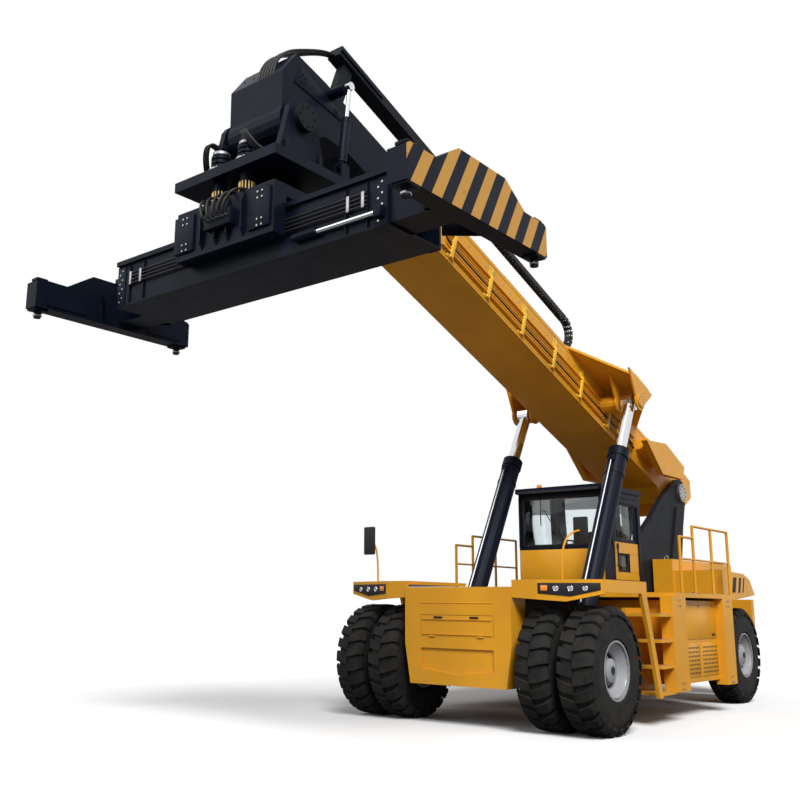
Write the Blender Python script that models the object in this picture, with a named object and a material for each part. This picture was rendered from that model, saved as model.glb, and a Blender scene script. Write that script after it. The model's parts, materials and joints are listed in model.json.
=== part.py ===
"""Reach stacker: a port machine with a telescopic boom and a container spreader.

Metres, +Z up. The machine's front faces -Y and its left side is +X. Shapes are
written from the middle of the front axle at ground level; the machine empty then
moves the whole model so that its box is centred over the origin. Boom shapes are
written in the boom's own axes: -Y forward along the boom, +Z square to it, with
the origin on the boom's pivot.
"""
import math

import bmesh
import bpy
from mathutils import Matrix, Vector

# ------------------------------------------------------------------ driving sizes
GAP = 0.0003                 # between pieces that touch

WHEELBASE = 6.0
TYRE_RADIUS = 0.82
TYRE_WIDTH = 0.50
RIM_RADIUS = 0.385
WHEEL_SIDES = 24
DUAL_INNER_X = 1.22          # middle of the inner front tyre
DUAL_OUTER_X = 1.83          # middle of the outer front tyre
REAR_WHEEL_X = 1.48
KINGPIN_X = 0.98
SPINDLE_RADIUS = 0.12
KNUCKLE_SPINDLE = 0.08

FRAME_HALF = 0.62            # main frame beside the cab and the lift cylinders
FRAME_BOTTOM = 1.03
FRAME_TOP = 1.80
FRAME_WALL = 0.05
FRAME_FRONT_Y = -0.25
FRAME_WIDE_END_Y = WHEELBASE - 1.30      # behind this the steered wheels need room
FRAME_REAR_HALF = 0.42
DECK_HALF = 0.79
DECK_TOP = 1.88

NOSE_FRONT_Y = -0.63
NOSE_HALF = 0.88
NOSE_BOTTOM = 0.545
HATCH_HALF = 0.60
HATCH_LOW = 1.19
HATCH_HIGH = 1.49
HATCH_THICK = 0.035
HATCH_HINGE_Y = NOSE_FRONT_Y - 0.008
HATCH_HINGE_Z = HATCH_LOW + 0.014

FENDER_OUTER_X = 2.09
FENDER_TOP = 1.973
FENDER_WALL = 0.05

CAB_HALF = 0.78
CAB_FRONT_Y = 2.50
CAB_REAR_Y = 3.92
CAB_FLOOR = 1.96
CAB_TOP = 3.60
CAB_WALL = 0.06
DOOR_FRONT_Y = 2.86
DOOR_REAR_Y = 3.78
DOOR_LOW = 2.04
DOOR_HIGH = 3.42

SIDE_BOX_OUTER_X = 2.08
SIDE_DECK_TOP = 1.85

HOOD_HALF = 1.02
HOOD_TOP = 2.47
HOOD_FRONT_Y = WHEELBASE - 1.38
HOOD_REAR_Y = WHEELBASE + 1.60
COUNTERWEIGHT_FRONT_Y = WHEELBASE + 1.16
COUNTERWEIGHT_BACK_Y = WHEELBASE + 1.75
COUNTERWEIGHT_HALF = 1.30

PIVOT_Y = 6.20               # boom pivot
PIVOT_Z = 3.80
PIVOT_PIN_RADIUS = 0.12
TOWER_INNER_X = 0.53
TOWER_OUTER_X = 0.63

BOOM_ANGLE = math.radians(19.8)
BOOM_HALF = 0.50
BOOM_LOW = -0.20             # under and over the pivot, square to the boom
BOOM_HIGH = 0.50
BOOM_WALL = 0.03
BOOM_FRONT = 8.50            # along the boom from the pivot
BOOM_RUN = 0.03              # between the outer and the inner boom
INNER_REAR = 2.10
INNER_FRONT = 10.40
HEAD_PIN_U = 11.25           # tilt pin of the spreader, along and square to the boom
HEAD_PIN_W = -0.462
HEAD_PIN_RADIUS = 0.10
HEAD_EYE_RADIUS = 0.25

LIFT_X = 1.0
LIFT_BASE_Y = 1.084
LIFT_BASE_Z = 1.18
LIFT_EYE_U = 3.223           # rod pin, along and square to the boom
LIFT_EYE_W = 0.1685
LIFT_BARREL_LENGTH = 3.40
LIFT_BARREL_RADIUS = 0.155
LIFT_ROD_RADIUS = 0.105
LIFT_ROD_FOOT = 1.09         # lower end of the rod above the base pin
LIFT_PIN_RADIUS = 0.07
LIFT_EYE_STEP = 0.008        # the barrel's eye is this much narrower a side than the barrel

CHAIN_X = 0.35
CHAIN_WIDTH = 0.12
CHAIN_DEPTH = 0.08
CHAIN_UPPER_W = 1.13         # outer side of the upper run
CHAIN_BEND_U = 4.34
CHAIN_FRONT_U = 9.30

DECK_PLATE_TOP = 6.52        # hanger's slewing deck
DECK_PLATE_BOTTOM = 6.40
RING_TOP = 6.28
RING_RADIUS = 0.48
DRIVE_X = 0.225
DRIVE_FORWARD = 0.527
FORK_INNER_X = 0.50
FORK_OUTER_X = 0.58
DAMPER_X = 0.75
DAMPER_FOOT_BACK = 0.50      # lower pin behind the tilt pin
DAMPER_FOOT_Z = 6.71
DAMPER_EYE_HALF = 0.035      # half the width of a damper's eye
DAMPER_EYE_U = 10.87
DAMPER_EYE_W = 0.349

BEAM_HALF_LENGTH = 2.20      # spreader's main beam
BEAM_HALF_DEPTH = 0.45
BEAM_BOTTOM = 5.30
BEAM_TOP = 5.84
RAIL_TOP = 5.90
RAIL_HALF = 0.49
BEAM_WALL = 0.025
ARM_CLEAR = 0.005
ARM_TAIL_X = 1.90            # how far an arm reaches past the middle
SHIFT_FRAME_HALF = 0.80
END_OUTER_X = 3.02
END_INNER_X = 2.80
END_HALF_LENGTH = 1.245
END_BOTTOM = 5.25
END_TOP = 5.62
END_MIDDLE_TOP = 5.86
LOCK_X = 2.9265
LOCK_Y = 1.1295
LOCK_TIP = 5.139
LOCK_RADIUS = 0.045

# ------------------------------------------------------------------ derived places
BOOM_SPACE = (Matrix.Translation((0, PIVOT_Y, PIVOT_Z))
              @ Matrix.Rotation(-BOOM_ANGLE, 4, 'X'))


def bore_for(pin_radius, sides=24):
    """The radius of a bore whose flats clear the corners of a pin with as many sides."""
    return (pin_radius + 2 * GAP) / math.cos(math.pi / sides)


def boom_point(u, w, x=0.0):
    """The machine-axes place of a point u along and w square to the boom."""
    return BOOM_SPACE @ Vector((x, -u, w))


TILT_PIN = boom_point(HEAD_PIN_U, HEAD_PIN_W)
SPREADER_Y = TILT_PIN.y
LIFT_EYE = boom_point(LIFT_EYE_U, LIFT_EYE_W)
LIFT_BASE = Vector((0, LIFT_BASE_Y, LIFT_BASE_Z))
LIFT_LENGTH = (LIFT_EYE - LIFT_BASE).length
DAMPER_FOOT = Vector((0, SPREADER_Y + DAMPER_FOOT_BACK, DAMPER_FOOT_Z))
DAMPER_EYE = boom_point(DAMPER_EYE_U, DAMPER_EYE_W)
DAMPER_LENGTH = (DAMPER_EYE - DAMPER_FOOT).length
MIDDLE_Y = (SPREADER_Y - END_HALF_LENGTH + COUNTERWEIGHT_BACK_Y) / 2

# name: colour, roughness, metallic
FINISHES = {
    "amber_paint": ((0.76, 0.36, 0.02), 0.35, 0.0),
    "navy_paint": ((0.012, 0.018, 0.035), 0.40, 0.0),
    "graphite_paint": ((0.03, 0.035, 0.045), 0.50, 0.0),
    "tyre_rubber": ((0.02, 0.02, 0.02), 0.85, 0.0),
    "rim_silver": ((0.55, 0.56, 0.58), 0.35, 0.8),
    "chrome_rod": ((0.75, 0.76, 0.78), 0.12, 1.0),
    "black_plastic": ((0.02, 0.02, 0.022), 0.60, 0.0),
    "seat_fabric": ((0.03, 0.03, 0.035), 0.90, 0.0),
}


# ------------------------------------------------------------------ shapes
def to_mesh(bm):
    """A mesh with outward faces from a bmesh, which is freed."""
    bmesh.ops.recalc_face_normals(bm, faces=bm.faces)
    mesh = bpy.data.meshes.new("shape")
    bm.to_mesh(mesh)
    bm.free()
    return mesh


def box(low, high):
    """A block between two corners."""
    bm = bmesh.new()
    size = [b - a for a, b in zip(low, high)]
    middle = [(a + b) / 2 for a, b in zip(low, high)]
    bmesh.ops.create_cube(bm, size=1.0, matrix=Matrix.Translation(middle) @ Matrix.Diagonal((*size, 1)))
    return to_mesh(bm)


def prism(axis, outline, low, high):
    """An outline pushed along an axis: (y, z) for X, (x, z) for Y, (x, y) for Z."""
    places = {
        'X': lambda a, b, h: (h, a, b),
        'Y': lambda a, b, h: (a, h, b),
        'Z': lambda a, b, h: (a, b, h),
    }[axis]
    bm = bmesh.new()
    face = bm.faces.new([bm.verts.new(places(a, b, low)) for a, b in outline])
    pushed = bmesh.ops.extrude_face_region(bm, geom=[face])
    verts = [item for item in pushed["geom"] if isinstance(item, bmesh.types.BMVert)]
    bmesh.ops.translate(bm, verts=verts, vec=places(0, 0, high - low))
    return to_mesh(bm)


def rod(start, end, radius, sides=24, tip=None):
    """A round bar between two points, tapered where a tip radius is given."""
    start, end = Vector(start), Vector(end)
    run = end - start
    turn = run.to_track_quat('Z', 'Y').to_matrix().to_4x4()
    bm = bmesh.new()
    bmesh.ops.create_cone(bm, cap_ends=True, cap_tris=False, segments=sides, radius1=radius,
                          radius2=radius if tip is None else tip, depth=run.length,
                          matrix=Matrix.Translation((start + end) / 2) @ turn)
    return to_mesh(bm)


def turned(profile, centre, sides=24):
    """A closed (radius, along) profile turned about X, a flat at the bottom."""
    half_step = math.pi / sides
    bm = bmesh.new()
    verts = [bm.verts.new((a, 0, -r)) for r, a in profile]
    loop = [bm.edges.new((verts[i], verts[(i + 1) % len(verts)])) for i in range(len(verts))]
    direction = (1, 0, 0)
    bmesh.ops.rotate(bm, verts=verts, cent=(0, 0, 0), matrix=Matrix.Rotation(half_step, 3, direction))
    bmesh.ops.spin(bm, geom=verts + loop, cent=(0, 0, 0), axis=direction, dvec=(0, 0, 0),
                   angle=2 * math.pi, steps=sides, use_merge=True, use_duplicate=False)
    bmesh.ops.translate(bm, verts=bm.verts, vec=centre)
    return to_mesh(bm)


def arc(centre, radius, start, end, steps):
    """Points on an arc, angles in degrees from the first axis towards the second."""
    turns = [math.radians(start + (end - start) * i / steps) for i in range(steps + 1)]
    return [(centre[0] + radius * math.cos(t), centre[1] + radius * math.sin(t)) for t in turns]


def mirrored(outline):
    """An outline drawn for the left side, moved to the right side."""
    return [(-a, b) for a, b in outline]


def across(side, near, far):
    """Low and high X of a span drawn for the left, on the given side."""
    return sorted((side * near, side * far))


def side_box(side, near, far, low, high):
    """A block from (near X, far X) and its (y, z) corners, on the given side."""
    x0, x1 = across(side, near, far)
    return box((x0, low[0], low[1]), (x1, high[0], high[1]))


def side_prism(side, near, far, outline):
    """An (y, z) outline pushed between two X places, on the given side."""
    x0, x1 = across(side, near, far)
    return prism('X', outline, x0, x1)


# ------------------------------------------------------------------ objects
JOINT_PLACES = {}            # filled as the joints' empties are made


def finish(name):
    """The Principled material of that name."""
    if name in bpy.data.materials:
        return bpy.data.materials[name]
    colour, roughness, metallic = FINISHES[name]
    material = bpy.data.materials.new(name)
    material.use_nodes = True
    shader = material.node_tree.nodes["Principled BSDF"]
    shader.inputs["Base Color"].default_value = (*colour, 1.0)
    shader.inputs["Roughness"].default_value = roughness
    shader.inputs["Metallic"].default_value = metallic
    material.diffuse_color = (*colour, 1.0)
    return material


def joint(name, place, parent=None):
    """An empty on a joint's axis, turned like the machine."""
    empty = bpy.data.objects.new(name, None)
    bpy.context.scene.collection.objects.link(empty)
    empty.empty_display_size = 0.3
    empty.parent = parent
    empty.location = Vector(place) - (JOINT_PLACES[parent.name] if parent else Vector())
    JOINT_PLACES[name] = Vector(place)
    return empty


def piece(name, material, body, shape, adds=(), cuts=(), space=None, late_adds=()):
    """One node: shapes joined, then cut, then more joined, on a body's empty."""
    obj = bpy.data.objects.new(name, shape)
    bpy.context.scene.collection.objects.link(obj)
    helpers = []
    for operation, meshes in (("UNION", adds), ("DIFFERENCE", cuts), ("UNION", late_adds)):
        for mesh in meshes:
            helper = bpy.data.objects.new(name + "_tool", mesh)
            bpy.context.scene.collection.objects.link(helper)
            modifier = obj.modifiers.new(operation.lower(), 'BOOLEAN')
            modifier.operation = operation
            modifier.solver = 'EXACT'
            modifier.object = helper
            helpers.append(helper)
    evaluated = obj.evaluated_get(bpy.context.evaluated_depsgraph_get())
    result = bpy.data.meshes.new_from_object(evaluated)
    obj.modifiers.clear()
    obj.data = result
    for helper in helpers:
        bpy.data.objects.remove(helper)
    if space is not None:
        result.transform(space)
    result.transform(Matrix.Translation(-JOINT_PLACES[body.name]))
    result.materials.clear()
    result.materials.append(finish(material))
    result.shade_smooth()
    result.set_sharp_from_angle(angle=math.radians(30))
    obj.parent = body
    return obj


# ------------------------------------------------------------------ chassis
def build_frame(body):
    """Main frame with its deck, the lift cylinders' cross beam and the rear rail box."""
    beam_y = (0.88, 1.48)
    lug_near, lug_wall = LIFT_BARREL_RADIUS + 0.03, 0.04
    beam_half = LIFT_X + lug_near + lug_wall + 0.025
    lug_outline = [(beam_y[0] + 0.02, 0.90), (1.36, 0.90),
                   *arc((LIFT_BASE_Y, LIFT_BASE_Z), 0.18, 20, 160, 6)]
    adds = [
        box((-DECK_HALF, FRAME_FRONT_Y, FRAME_TOP - 0.06), (DECK_HALF, 4.03, DECK_TOP)),
        box((-FRAME_REAR_HALF, FRAME_WIDE_END_Y - 0.2, FRAME_BOTTOM),
            (FRAME_REAR_HALF, COUNTERWEIGHT_FRONT_Y - GAP, FRAME_TOP - 0.02)),
        box((-0.66, FRAME_WIDE_END_Y - 0.3, 1.70),
            (0.66, COUNTERWEIGHT_FRONT_Y - GAP, FRAME_TOP)),
        box((-beam_half, beam_y[0], 0.62), (beam_half, beam_y[1], 0.95)),
        box((-0.55, beam_y[0], 0.80), (0.55, beam_y[1], FRAME_BOTTOM + 0.1)),
    ]
    for side in (1, -1):
        for way in (-1, 1):
            near, far = sorted((LIFT_X + way * lug_near, LIFT_X + way * (lug_near + lug_wall)))
            adds.append(side_prism(side, near, far, lug_outline))
        pin_half = lug_near + lug_wall + 0.015
        adds.append(rod((side * (LIFT_X - pin_half), LIFT_BASE_Y, LIFT_BASE_Z),
                        (side * (LIFT_X + pin_half), LIFT_BASE_Y, LIFT_BASE_Z), LIFT_PIN_RADIUS))
    cuts = [
        box((-FRAME_HALF + FRAME_WALL, FRAME_FRONT_Y + FRAME_WALL, FRAME_BOTTOM - 0.1),
            (FRAME_HALF - FRAME_WALL, beam_y[0] - 0.08, FRAME_TOP - 0.1)),
        box((-FRAME_HALF + FRAME_WALL, beam_y[1] + 0.08, FRAME_BOTTOM - 0.1),
            (FRAME_HALF - FRAME_WALL, FRAME_WIDE_END_Y - 0.25, FRAME_TOP - 0.1)),
        box((-FRAME_REAR_HALF + FRAME_WALL, FRAME_WIDE_END_Y + 0.05, FRAME_BOTTOM - 0.1),
            (FRAME_REAR_HALF - FRAME_WALL, WHEELBASE - 0.3, FRAME_TOP - 0.14)),
        box((-FRAME_REAR_HALF + FRAME_WALL, WHEELBASE + 0.3, FRAME_BOTTOM - 0.1),
            (FRAME_REAR_HALF - FRAME_WALL, COUNTERWEIGHT_FRONT_Y - 0.1, FRAME_TOP - 0.14)),
    ]
    shape = box((-FRAME_HALF, FRAME_FRONT_Y, FRAME_BOTTOM), (FRAME_HALF, FRAME_WIDE_END_Y, FRAME_TOP))
    piece("chassis_frame", "graphite_paint", body, shape, adds, cuts)


def build_axles(body):
    """Drive axle with its spindles, and the steered axle with its kingpin eyes."""
    mid = TYRE_RADIUS
    drive_parts = [
        rod((-0.30, 0, mid), (0.30, 0, mid), 0.24, 20),
    ]
    for side in (1, -1):
        drive_parts.append(side_box(side, 0.35, 0.58, (-0.18, mid), (0.18, FRAME_BOTTOM - GAP)))
        drive_parts.append(rod((side * 0.80, 0, mid), (side * 1.90, 0, mid), SPINDLE_RADIUS, WHEEL_SIDES))
    piece("front_axle", "graphite_paint", body,
          rod((-0.92, 0, mid), (0.92, 0, mid), 0.19, 20), drive_parts,
          [box((-0.9, -0.4, FRAME_BOTTOM - GAP), (0.9, 0.4, FRAME_BOTTOM + 0.3))])
    steer_parts = [
        box((-0.30, WHEELBASE - 0.22, mid), (0.30, WHEELBASE + 0.22, FRAME_BOTTOM - GAP)),
    ]
    for side in (1, -1):
        steer_parts.append(rod((side * KINGPIN_X, WHEELBASE, 0.60),
                               (side * KINGPIN_X, WHEELBASE, 1.04), 0.14, 20))
    piece("rear_axle", "graphite_paint", body,
          box((-0.90, WHEELBASE - 0.13, 0.66), (0.90, WHEELBASE + 0.13, 0.99)), steer_parts)


def build_nose(body):
    """Nose box between the front wheels, with its locker behind the hatch."""
    front_view = [(-0.79, NOSE_BOTTOM), (0.79, NOSE_BOTTOM), (NOSE_HALF, 1.10),
                  (NOSE_HALF, DECK_TOP), (-NOSE_HALF, DECK_TOP), (-NOSE_HALF, 1.10)]
    shape = prism('Y', front_view, NOSE_FRONT_Y, FRAME_FRONT_Y - GAP)
    clear = 0.006
    cuts = [
        box((-HATCH_HALF - clear, NOSE_FRONT_Y - 0.1, HATCH_LOW - 2 * GAP),
            (HATCH_HALF + clear, NOSE_FRONT_Y + HATCH_THICK + clear, HATCH_HIGH + clear)),
        box((-HATCH_HALF + 0.05, NOSE_FRONT_Y - 0.1, HATCH_LOW + 0.03),
            (HATCH_HALF - 0.05, FRAME_FRONT_Y - 0.06, HATCH_HIGH - 0.03)),
        prism('Y', [(-0.60, 0.76), (0, 0.69), (0.60, 0.76), (0.60, 1.04), (-0.60, 1.04)],
              NOSE_FRONT_Y - 0.1, NOSE_FRONT_Y + 0.03),
        box((-0.66, FRAME_FRONT_Y - 0.30, NOSE_BOTTOM - 0.1), (0.66, FRAME_FRONT_Y - 0.05, 1.14)),
    ]
    piece("nose_box", "amber_paint", body, shape, [], cuts)


def build_hatch(body):
    """Locker lid on the nose, hinged along its lower edge."""
    shape = box((-HATCH_HALF, NOSE_FRONT_Y, HATCH_LOW), (HATCH_HALF, NOSE_FRONT_Y + HATCH_THICK, HATCH_HIGH))
    hinges = []
    for x in (-0.40, 0.40):
        hinges.append(rod((x - 0.05, HATCH_HINGE_Y, HATCH_HINGE_Z),
                          (x + 0.05, HATCH_HINGE_Y, HATCH_HINGE_Z), 0.012, 10))
    piece("nose_hatch", "amber_paint", body, shape, hinges)


def build_fenders(body):
    """Front mudguards with a V-shaped front and a slanted leg down to the ladder."""
    wall = FENDER_WALL
    plan = [(NOSE_HALF + GAP, -0.60), (1.25, -0.595), (FENDER_OUTER_X, -0.364),
            (FENDER_OUTER_X, 0.98), (NOSE_HALF + GAP, 0.98)]
    inside = [(NOSE_HALF - 0.1, -0.60 + wall), (1.25, -0.595 + wall), (FENDER_OUTER_X - wall, -0.364 + wall),
              (FENDER_OUTER_X - wall, 1.2), (NOSE_HALF - 0.1, 1.2)]
    below = [(0.80, 1.50), (0.88, 1.74), (1.62, 1.69), (2.15, 1.80), (2.15, 1.50)]
    leg = [(0.80, 1.84), (1.02, 1.21), (1.25, 0.40), (1.37, 0.40), (1.14, 1.21), (0.96, 1.84)]
    for side, name in ((1, "left_fender"), (-1, "right_fender")):
        place = (lambda points: points) if side == 1 else mirrored
        shape = prism('Z', place(plan), 1.65, FENDER_TOP)
        cuts = [
            prism('Z', place(inside), 1.5, FENDER_TOP - wall),
            prism('Y', place(below), -0.8, 1.1),
            side_box(side, 1.90, 2.2, (-0.30, 1.5), (1.1, 1.81)),
        ]
        piece(name, "amber_paint", body, shape, [], cuts,
              late_adds=[side_prism(side, FENDER_OUTER_X - wall, FENDER_OUTER_X, leg)])


def build_side_boxes(body):
    """Hollow tank and locker under each side walkway, with posts and ladder steps."""
    outer = SIDE_BOX_OUTER_X
    step_heights = (0.42, 0.78, 1.14, 1.50)
    for side, name in ((1, "left_side_box"), (-1, "right_side_box")):
        adds = [
            side_box(side, DECK_HALF + GAP, outer, (2.03, SIDE_DECK_TOP - 0.07), (4.56, SIDE_DECK_TOP)),
            side_box(side, 1.90, outer, (1.88, 0.44), (2.40, SIDE_DECK_TOP - 0.05)),
            side_box(side, 1.90, outer, (3.96, 0.44), (4.40, SIDE_DECK_TOP - 0.05)),
            side_box(side, DECK_HALF + 0.05, 1.90, (2.50, 1.70), (2.56, SIDE_DECK_TOP - 0.05)),
            side_box(side, DECK_HALF + 0.05, 1.90, (4.00, 1.70), (4.06, SIDE_DECK_TOP - 0.05)),
        ]
        for z in step_heights:
            adds.append(side_box(side, 1.55, outer - 0.02, (1.44, z), (1.95, z + 0.04)))
        adds.append(side_box(side, 1.52, 1.57, (1.40, 0.42), (2.50, 1.62)))
        shape = side_box(side, FRAME_HALF + GAP, 1.96, (2.20, 0.52), (4.30, FRAME_TOP - 0.06 - GAP))
        cuts = [side_box(side, FRAME_HALF - 0.1, 1.91, (2.25, 0.57), (4.25, 1.66))]
        piece(name, "amber_paint", body, shape, adds, cuts)


def build_handrails(body):
    """Tube railings along the outer edge of each walkway."""
    x = SIDE_BOX_OUTER_X - 0.05
    low, middle, high, front_high = SIDE_DECK_TOP + GAP, 2.36, 2.88, 2.69
    front, corner, back = 2.42, 2.96, 4.50
    post_radius, top_radius, middle_radius, past = 0.024, 0.020, 0.016, 0.012
    for side, name in ((1, "left_handrail"), (-1, "right_handrail")):
        place = side * x
        tubes = [rod((place, y, low), (place, y, high), post_radius, 8) for y in (corner, 3.74, back)]
        for start, end, height, radius in ((corner, back, high, top_radius),
                                           (front, back, middle, middle_radius),
                                           (front, corner, front_high, top_radius)):
            tubes.append(rod((place, start - past, height), (place, end + past, height), radius, 8))
        first = rod((place, front, low), (place, front, front_high + past), post_radius, 8)
        piece(name, "amber_paint", body, first, tubes)


def build_rear(body):
    """Engine block, hood, rear mudguards and counterweight."""
    slot_in, slot_out = TOWER_INNER_X - 0.03, TOWER_OUTER_X + 0.04
    wall = 0.04
    slot_end = HOOD_REAR_Y - 0.94
    piece("engine_block", "graphite_paint", body,
          box((-0.38, HOOD_FRONT_Y + 0.18, FRAME_TOP + GAP), (0.38, HOOD_FRONT_Y + 1.68, HOOD_TOP - 0.12)))
    cuts = [
        box((-slot_in + wall, HOOD_FRONT_Y + wall, FRAME_TOP - 0.1),
            (slot_in - wall, slot_end + wall, HOOD_TOP - wall)),
        box((-HOOD_HALF + wall, slot_end + 0.10, FRAME_TOP - 0.2), (HOOD_HALF - wall, HOOD_REAR_Y - wall,
                                                                    HOOD_TOP - wall)),
    ]
    for side in (1, -1):
        cuts.append(side_box(side, slot_in, slot_out, (HOOD_FRONT_Y - 0.1, 1.5), (slot_end, HOOD_TOP + 0.1)))
        cuts.append(side_box(side, slot_out + wall, HOOD_HALF - wall,
                             (HOOD_FRONT_Y + wall, 1.5), (slot_end - 0.06, HOOD_TOP - wall)))
    piece("engine_hood", "amber_paint", body,
          box((-HOOD_HALF, HOOD_FRONT_Y, FRAME_TOP + GAP), (HOOD_HALF, HOOD_REAR_Y, HOOD_TOP)), [], cuts)
    # mudguard outlines as (along from the rear axle, height)
    panel = [(-1.34, 1.77), (-0.84, 1.77), (0.28, 1.87), (0.05, 2.13), (-0.26, 2.23), (-1.34, 2.27)]
    pocket = [(-1.30, 1.5), (0.15, 1.5), (0.15, 1.91), (-0.02, 2.07), (-0.30, 2.17), (-1.30, 2.21)]
    panel, pocket = ([(WHEELBASE + y, z) for y, z in outline] for outline in (panel, pocket))
    for side, name in ((1, "left_rear_fender"), (-1, "right_rear_fender")):
        piece(name, "amber_paint", body,
              side_prism(side, HOOD_HALF + GAP, 1.86, panel), [],
              [side_prism(side, HOOD_HALF + wall, 1.86 - wall, pocket)])
    half, shoulder_y = COUNTERWEIGHT_HALF, COUNTERWEIGHT_FRONT_Y + 0.14
    plan = [(-half - 0.2, COUNTERWEIGHT_FRONT_Y), (half + 0.2, COUNTERWEIGHT_FRONT_Y),
            (half + 0.2, shoulder_y), (half - 0.15, COUNTERWEIGHT_BACK_Y),
            (-half + 0.15, COUNTERWEIGHT_BACK_Y), (-half - 0.2, shoulder_y)]
    piece("counterweight", "amber_paint", body, prism('Z', plan, 0.72, FRAME_TOP))


def build_tower(body):
    """Two upright plates that carry the boom pivot, with the pin and a cross tube."""
    outline = [(4.06, FRAME_TOP + GAP), (4.06, 2.77), (4.75, 3.22), (5.34, 3.66), (5.80, 3.90),
               *arc((PIVOT_Y, PIVOT_Z), 0.27, 125, -30, 8),
               (6.26, 3.16), (6.10, 2.50), (6.10, FRAME_TOP + GAP)]
    tubes = [
        side_prism(-1, TOWER_INNER_X, TOWER_OUTER_X, outline),
        rod((-TOWER_OUTER_X - 0.03, PIVOT_Y, PIVOT_Z), (TOWER_OUTER_X + 0.03, PIVOT_Y, PIVOT_Z),
            PIVOT_PIN_RADIUS),
        rod((-TOWER_INNER_X - 0.02, 4.45, 2.68), (TOWER_INNER_X + 0.02, 4.45, 2.68), 0.10, 16),
    ]
    piece("boom_tower", "graphite_paint", body,
          side_prism(1, TOWER_INNER_X, TOWER_OUTER_X, outline), tubes)


# ------------------------------------------------------------------ cab
def build_cab(body):
    """Hollow cab: floor, four walls with their windows cut, roof, seat and console."""
    half, wall = CAB_HALF, CAB_WALL
    front, rear = CAB_FRONT_Y, CAB_REAR_Y
    floor, top = CAB_FLOOR, CAB_TOP
    eaves = top - 0.08
    piece("cab_floor", "graphite_paint", body, box((-half, front, DECK_TOP + GAP), (half, rear, floor)))
    piece("cab_roof", "navy_paint", body,
          box((-half - 0.02, front - 0.08, eaves + GAP), (half + 0.02, rear + 0.03, top)))
    piece("cab_front", "navy_paint", body,
          box((-half, front, floor + GAP), (half, front + wall, eaves)), [],
          [box((-half + 0.06, front - 0.1, 2.62), (half - 0.06, front + 0.2, 3.44))])
    piece("cab_rear", "navy_paint", body,
          box((-half, rear - wall, floor + GAP), (half, rear, eaves)), [],
          [box((-half + 0.10, rear - 0.2, 2.72), (half - 0.10, rear + 0.1, 3.42))])
    side_low = (front + wall + GAP, floor + GAP)
    side_high = (rear - wall - GAP, eaves)
    piece("cab_right_side", "navy_paint", body,
          side_box(-1, half - wall, half, side_low, side_high), [],
          [side_box(-1, half - 0.2, half + 0.2, (2.66, 2.62), (3.70, 3.42))])
    clear = 0.008
    piece("cab_left_side", "navy_paint", body,
          side_box(1, half - wall, half, side_low, side_high), [],
          [side_box(1, half - 0.2, half + 0.2, (DOOR_FRONT_Y - clear, DOOR_LOW - clear),
                    (DOOR_REAR_Y + 2 * GAP, DOOR_HIGH + clear)),
           side_box(1, half - 0.2, half + 0.2, (2.62, 2.62), (DOOR_FRONT_Y - 0.06, 3.42))])
    piece("seat", "seat_fabric", body, box((-0.26, 3.10, floor + GAP), (0.26, 3.62, 2.50)),
          [prism('X', [(3.48, 2.45), (3.62, 2.45), (3.76, 3.18), (3.64, 3.18)], -0.25, 0.25)])
    column_low, column_high = Vector((0, 2.74, 2.30)), Vector((0, 2.93, 2.66))
    piece("console", "black_plastic", body,
          box((-0.45, front + wall + 0.005, floor + GAP), (0.45, 2.84, 2.56)),
          [rod(column_low, column_high, 0.035, 12),
           rod(column_high - Vector((0, 0.01, 0.02)), column_high + Vector((0, 0.01, 0.02)), 0.20, 20)])


def build_door(body):
    """Cab door on the left side, hinged along its rear edge, with two windows cut."""
    piece("cab_door", "navy_paint", body,
          side_box(1, CAB_HALF - CAB_WALL + 0.005, CAB_HALF, (DOOR_FRONT_Y, DOOR_LOW),
                   (DOOR_REAR_Y, DOOR_HIGH)),
          [rod((CAB_HALF + 0.012, DOOR_REAR_Y - 0.012, DOOR_LOW + 0.1),
               (CAB_HALF + 0.012, DOOR_REAR_Y - 0.012, DOOR_HIGH - 0.1), 0.014, 10)],
          [side_box(1, CAB_HALF - 0.2, CAB_HALF + 0.005, (DOOR_FRONT_Y + 0.08, 2.72),
                    (DOOR_REAR_Y - 0.10, 3.34)),
           side_box(1, CAB_HALF - 0.2, CAB_HALF + 0.005, (DOOR_FRONT_Y + 0.10, 2.20),
                    (DOOR_REAR_Y - 0.36, 2.50))])


# ------------------------------------------------------------------ wheels
def tyre_shape(x, y):
    """A tyre whose flats, not corners, stand at the tyre radius."""
    crown = TYRE_RADIUS / math.cos(math.pi / WHEEL_SIDES)
    bore = RIM_RADIUS + 2 * GAP
    half = TYRE_WIDTH / 2
    profile = [(bore, -half + 0.03), (0.60, -half), (crown - 0.07, -half + 0.01), (crown, -half + 0.06),
               (crown, half - 0.06), (crown - 0.07, half - 0.01), (0.60, half), (bore, half - 0.03)]
    return turned(profile, (x, y, TYRE_RADIUS), sides=WHEEL_SIDES)


def rim_shape(side, x, y, half, disc, bore):
    """A rim barrel with its disc and hub; disc is how far it lies inside the face."""
    barrel = RIM_RADIUS - 0.025
    face = half - disc
    hub = bore + 0.07
    hub_end = face + 0.12
    profile = [(bore, -half + 0.02), (hub, -half + 0.02), (hub, face), (barrel, face),
               (barrel, -half), (RIM_RADIUS, -half), (RIM_RADIUS, half), (barrel, half),
               (barrel, face + 0.04), (hub, face + 0.04), (hub, hub_end), (bore, hub_end)]
    return turned([(r, side * a) for r, a in profile], (x, y, TYRE_RADIUS), sides=WHEEL_SIDES)


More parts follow.
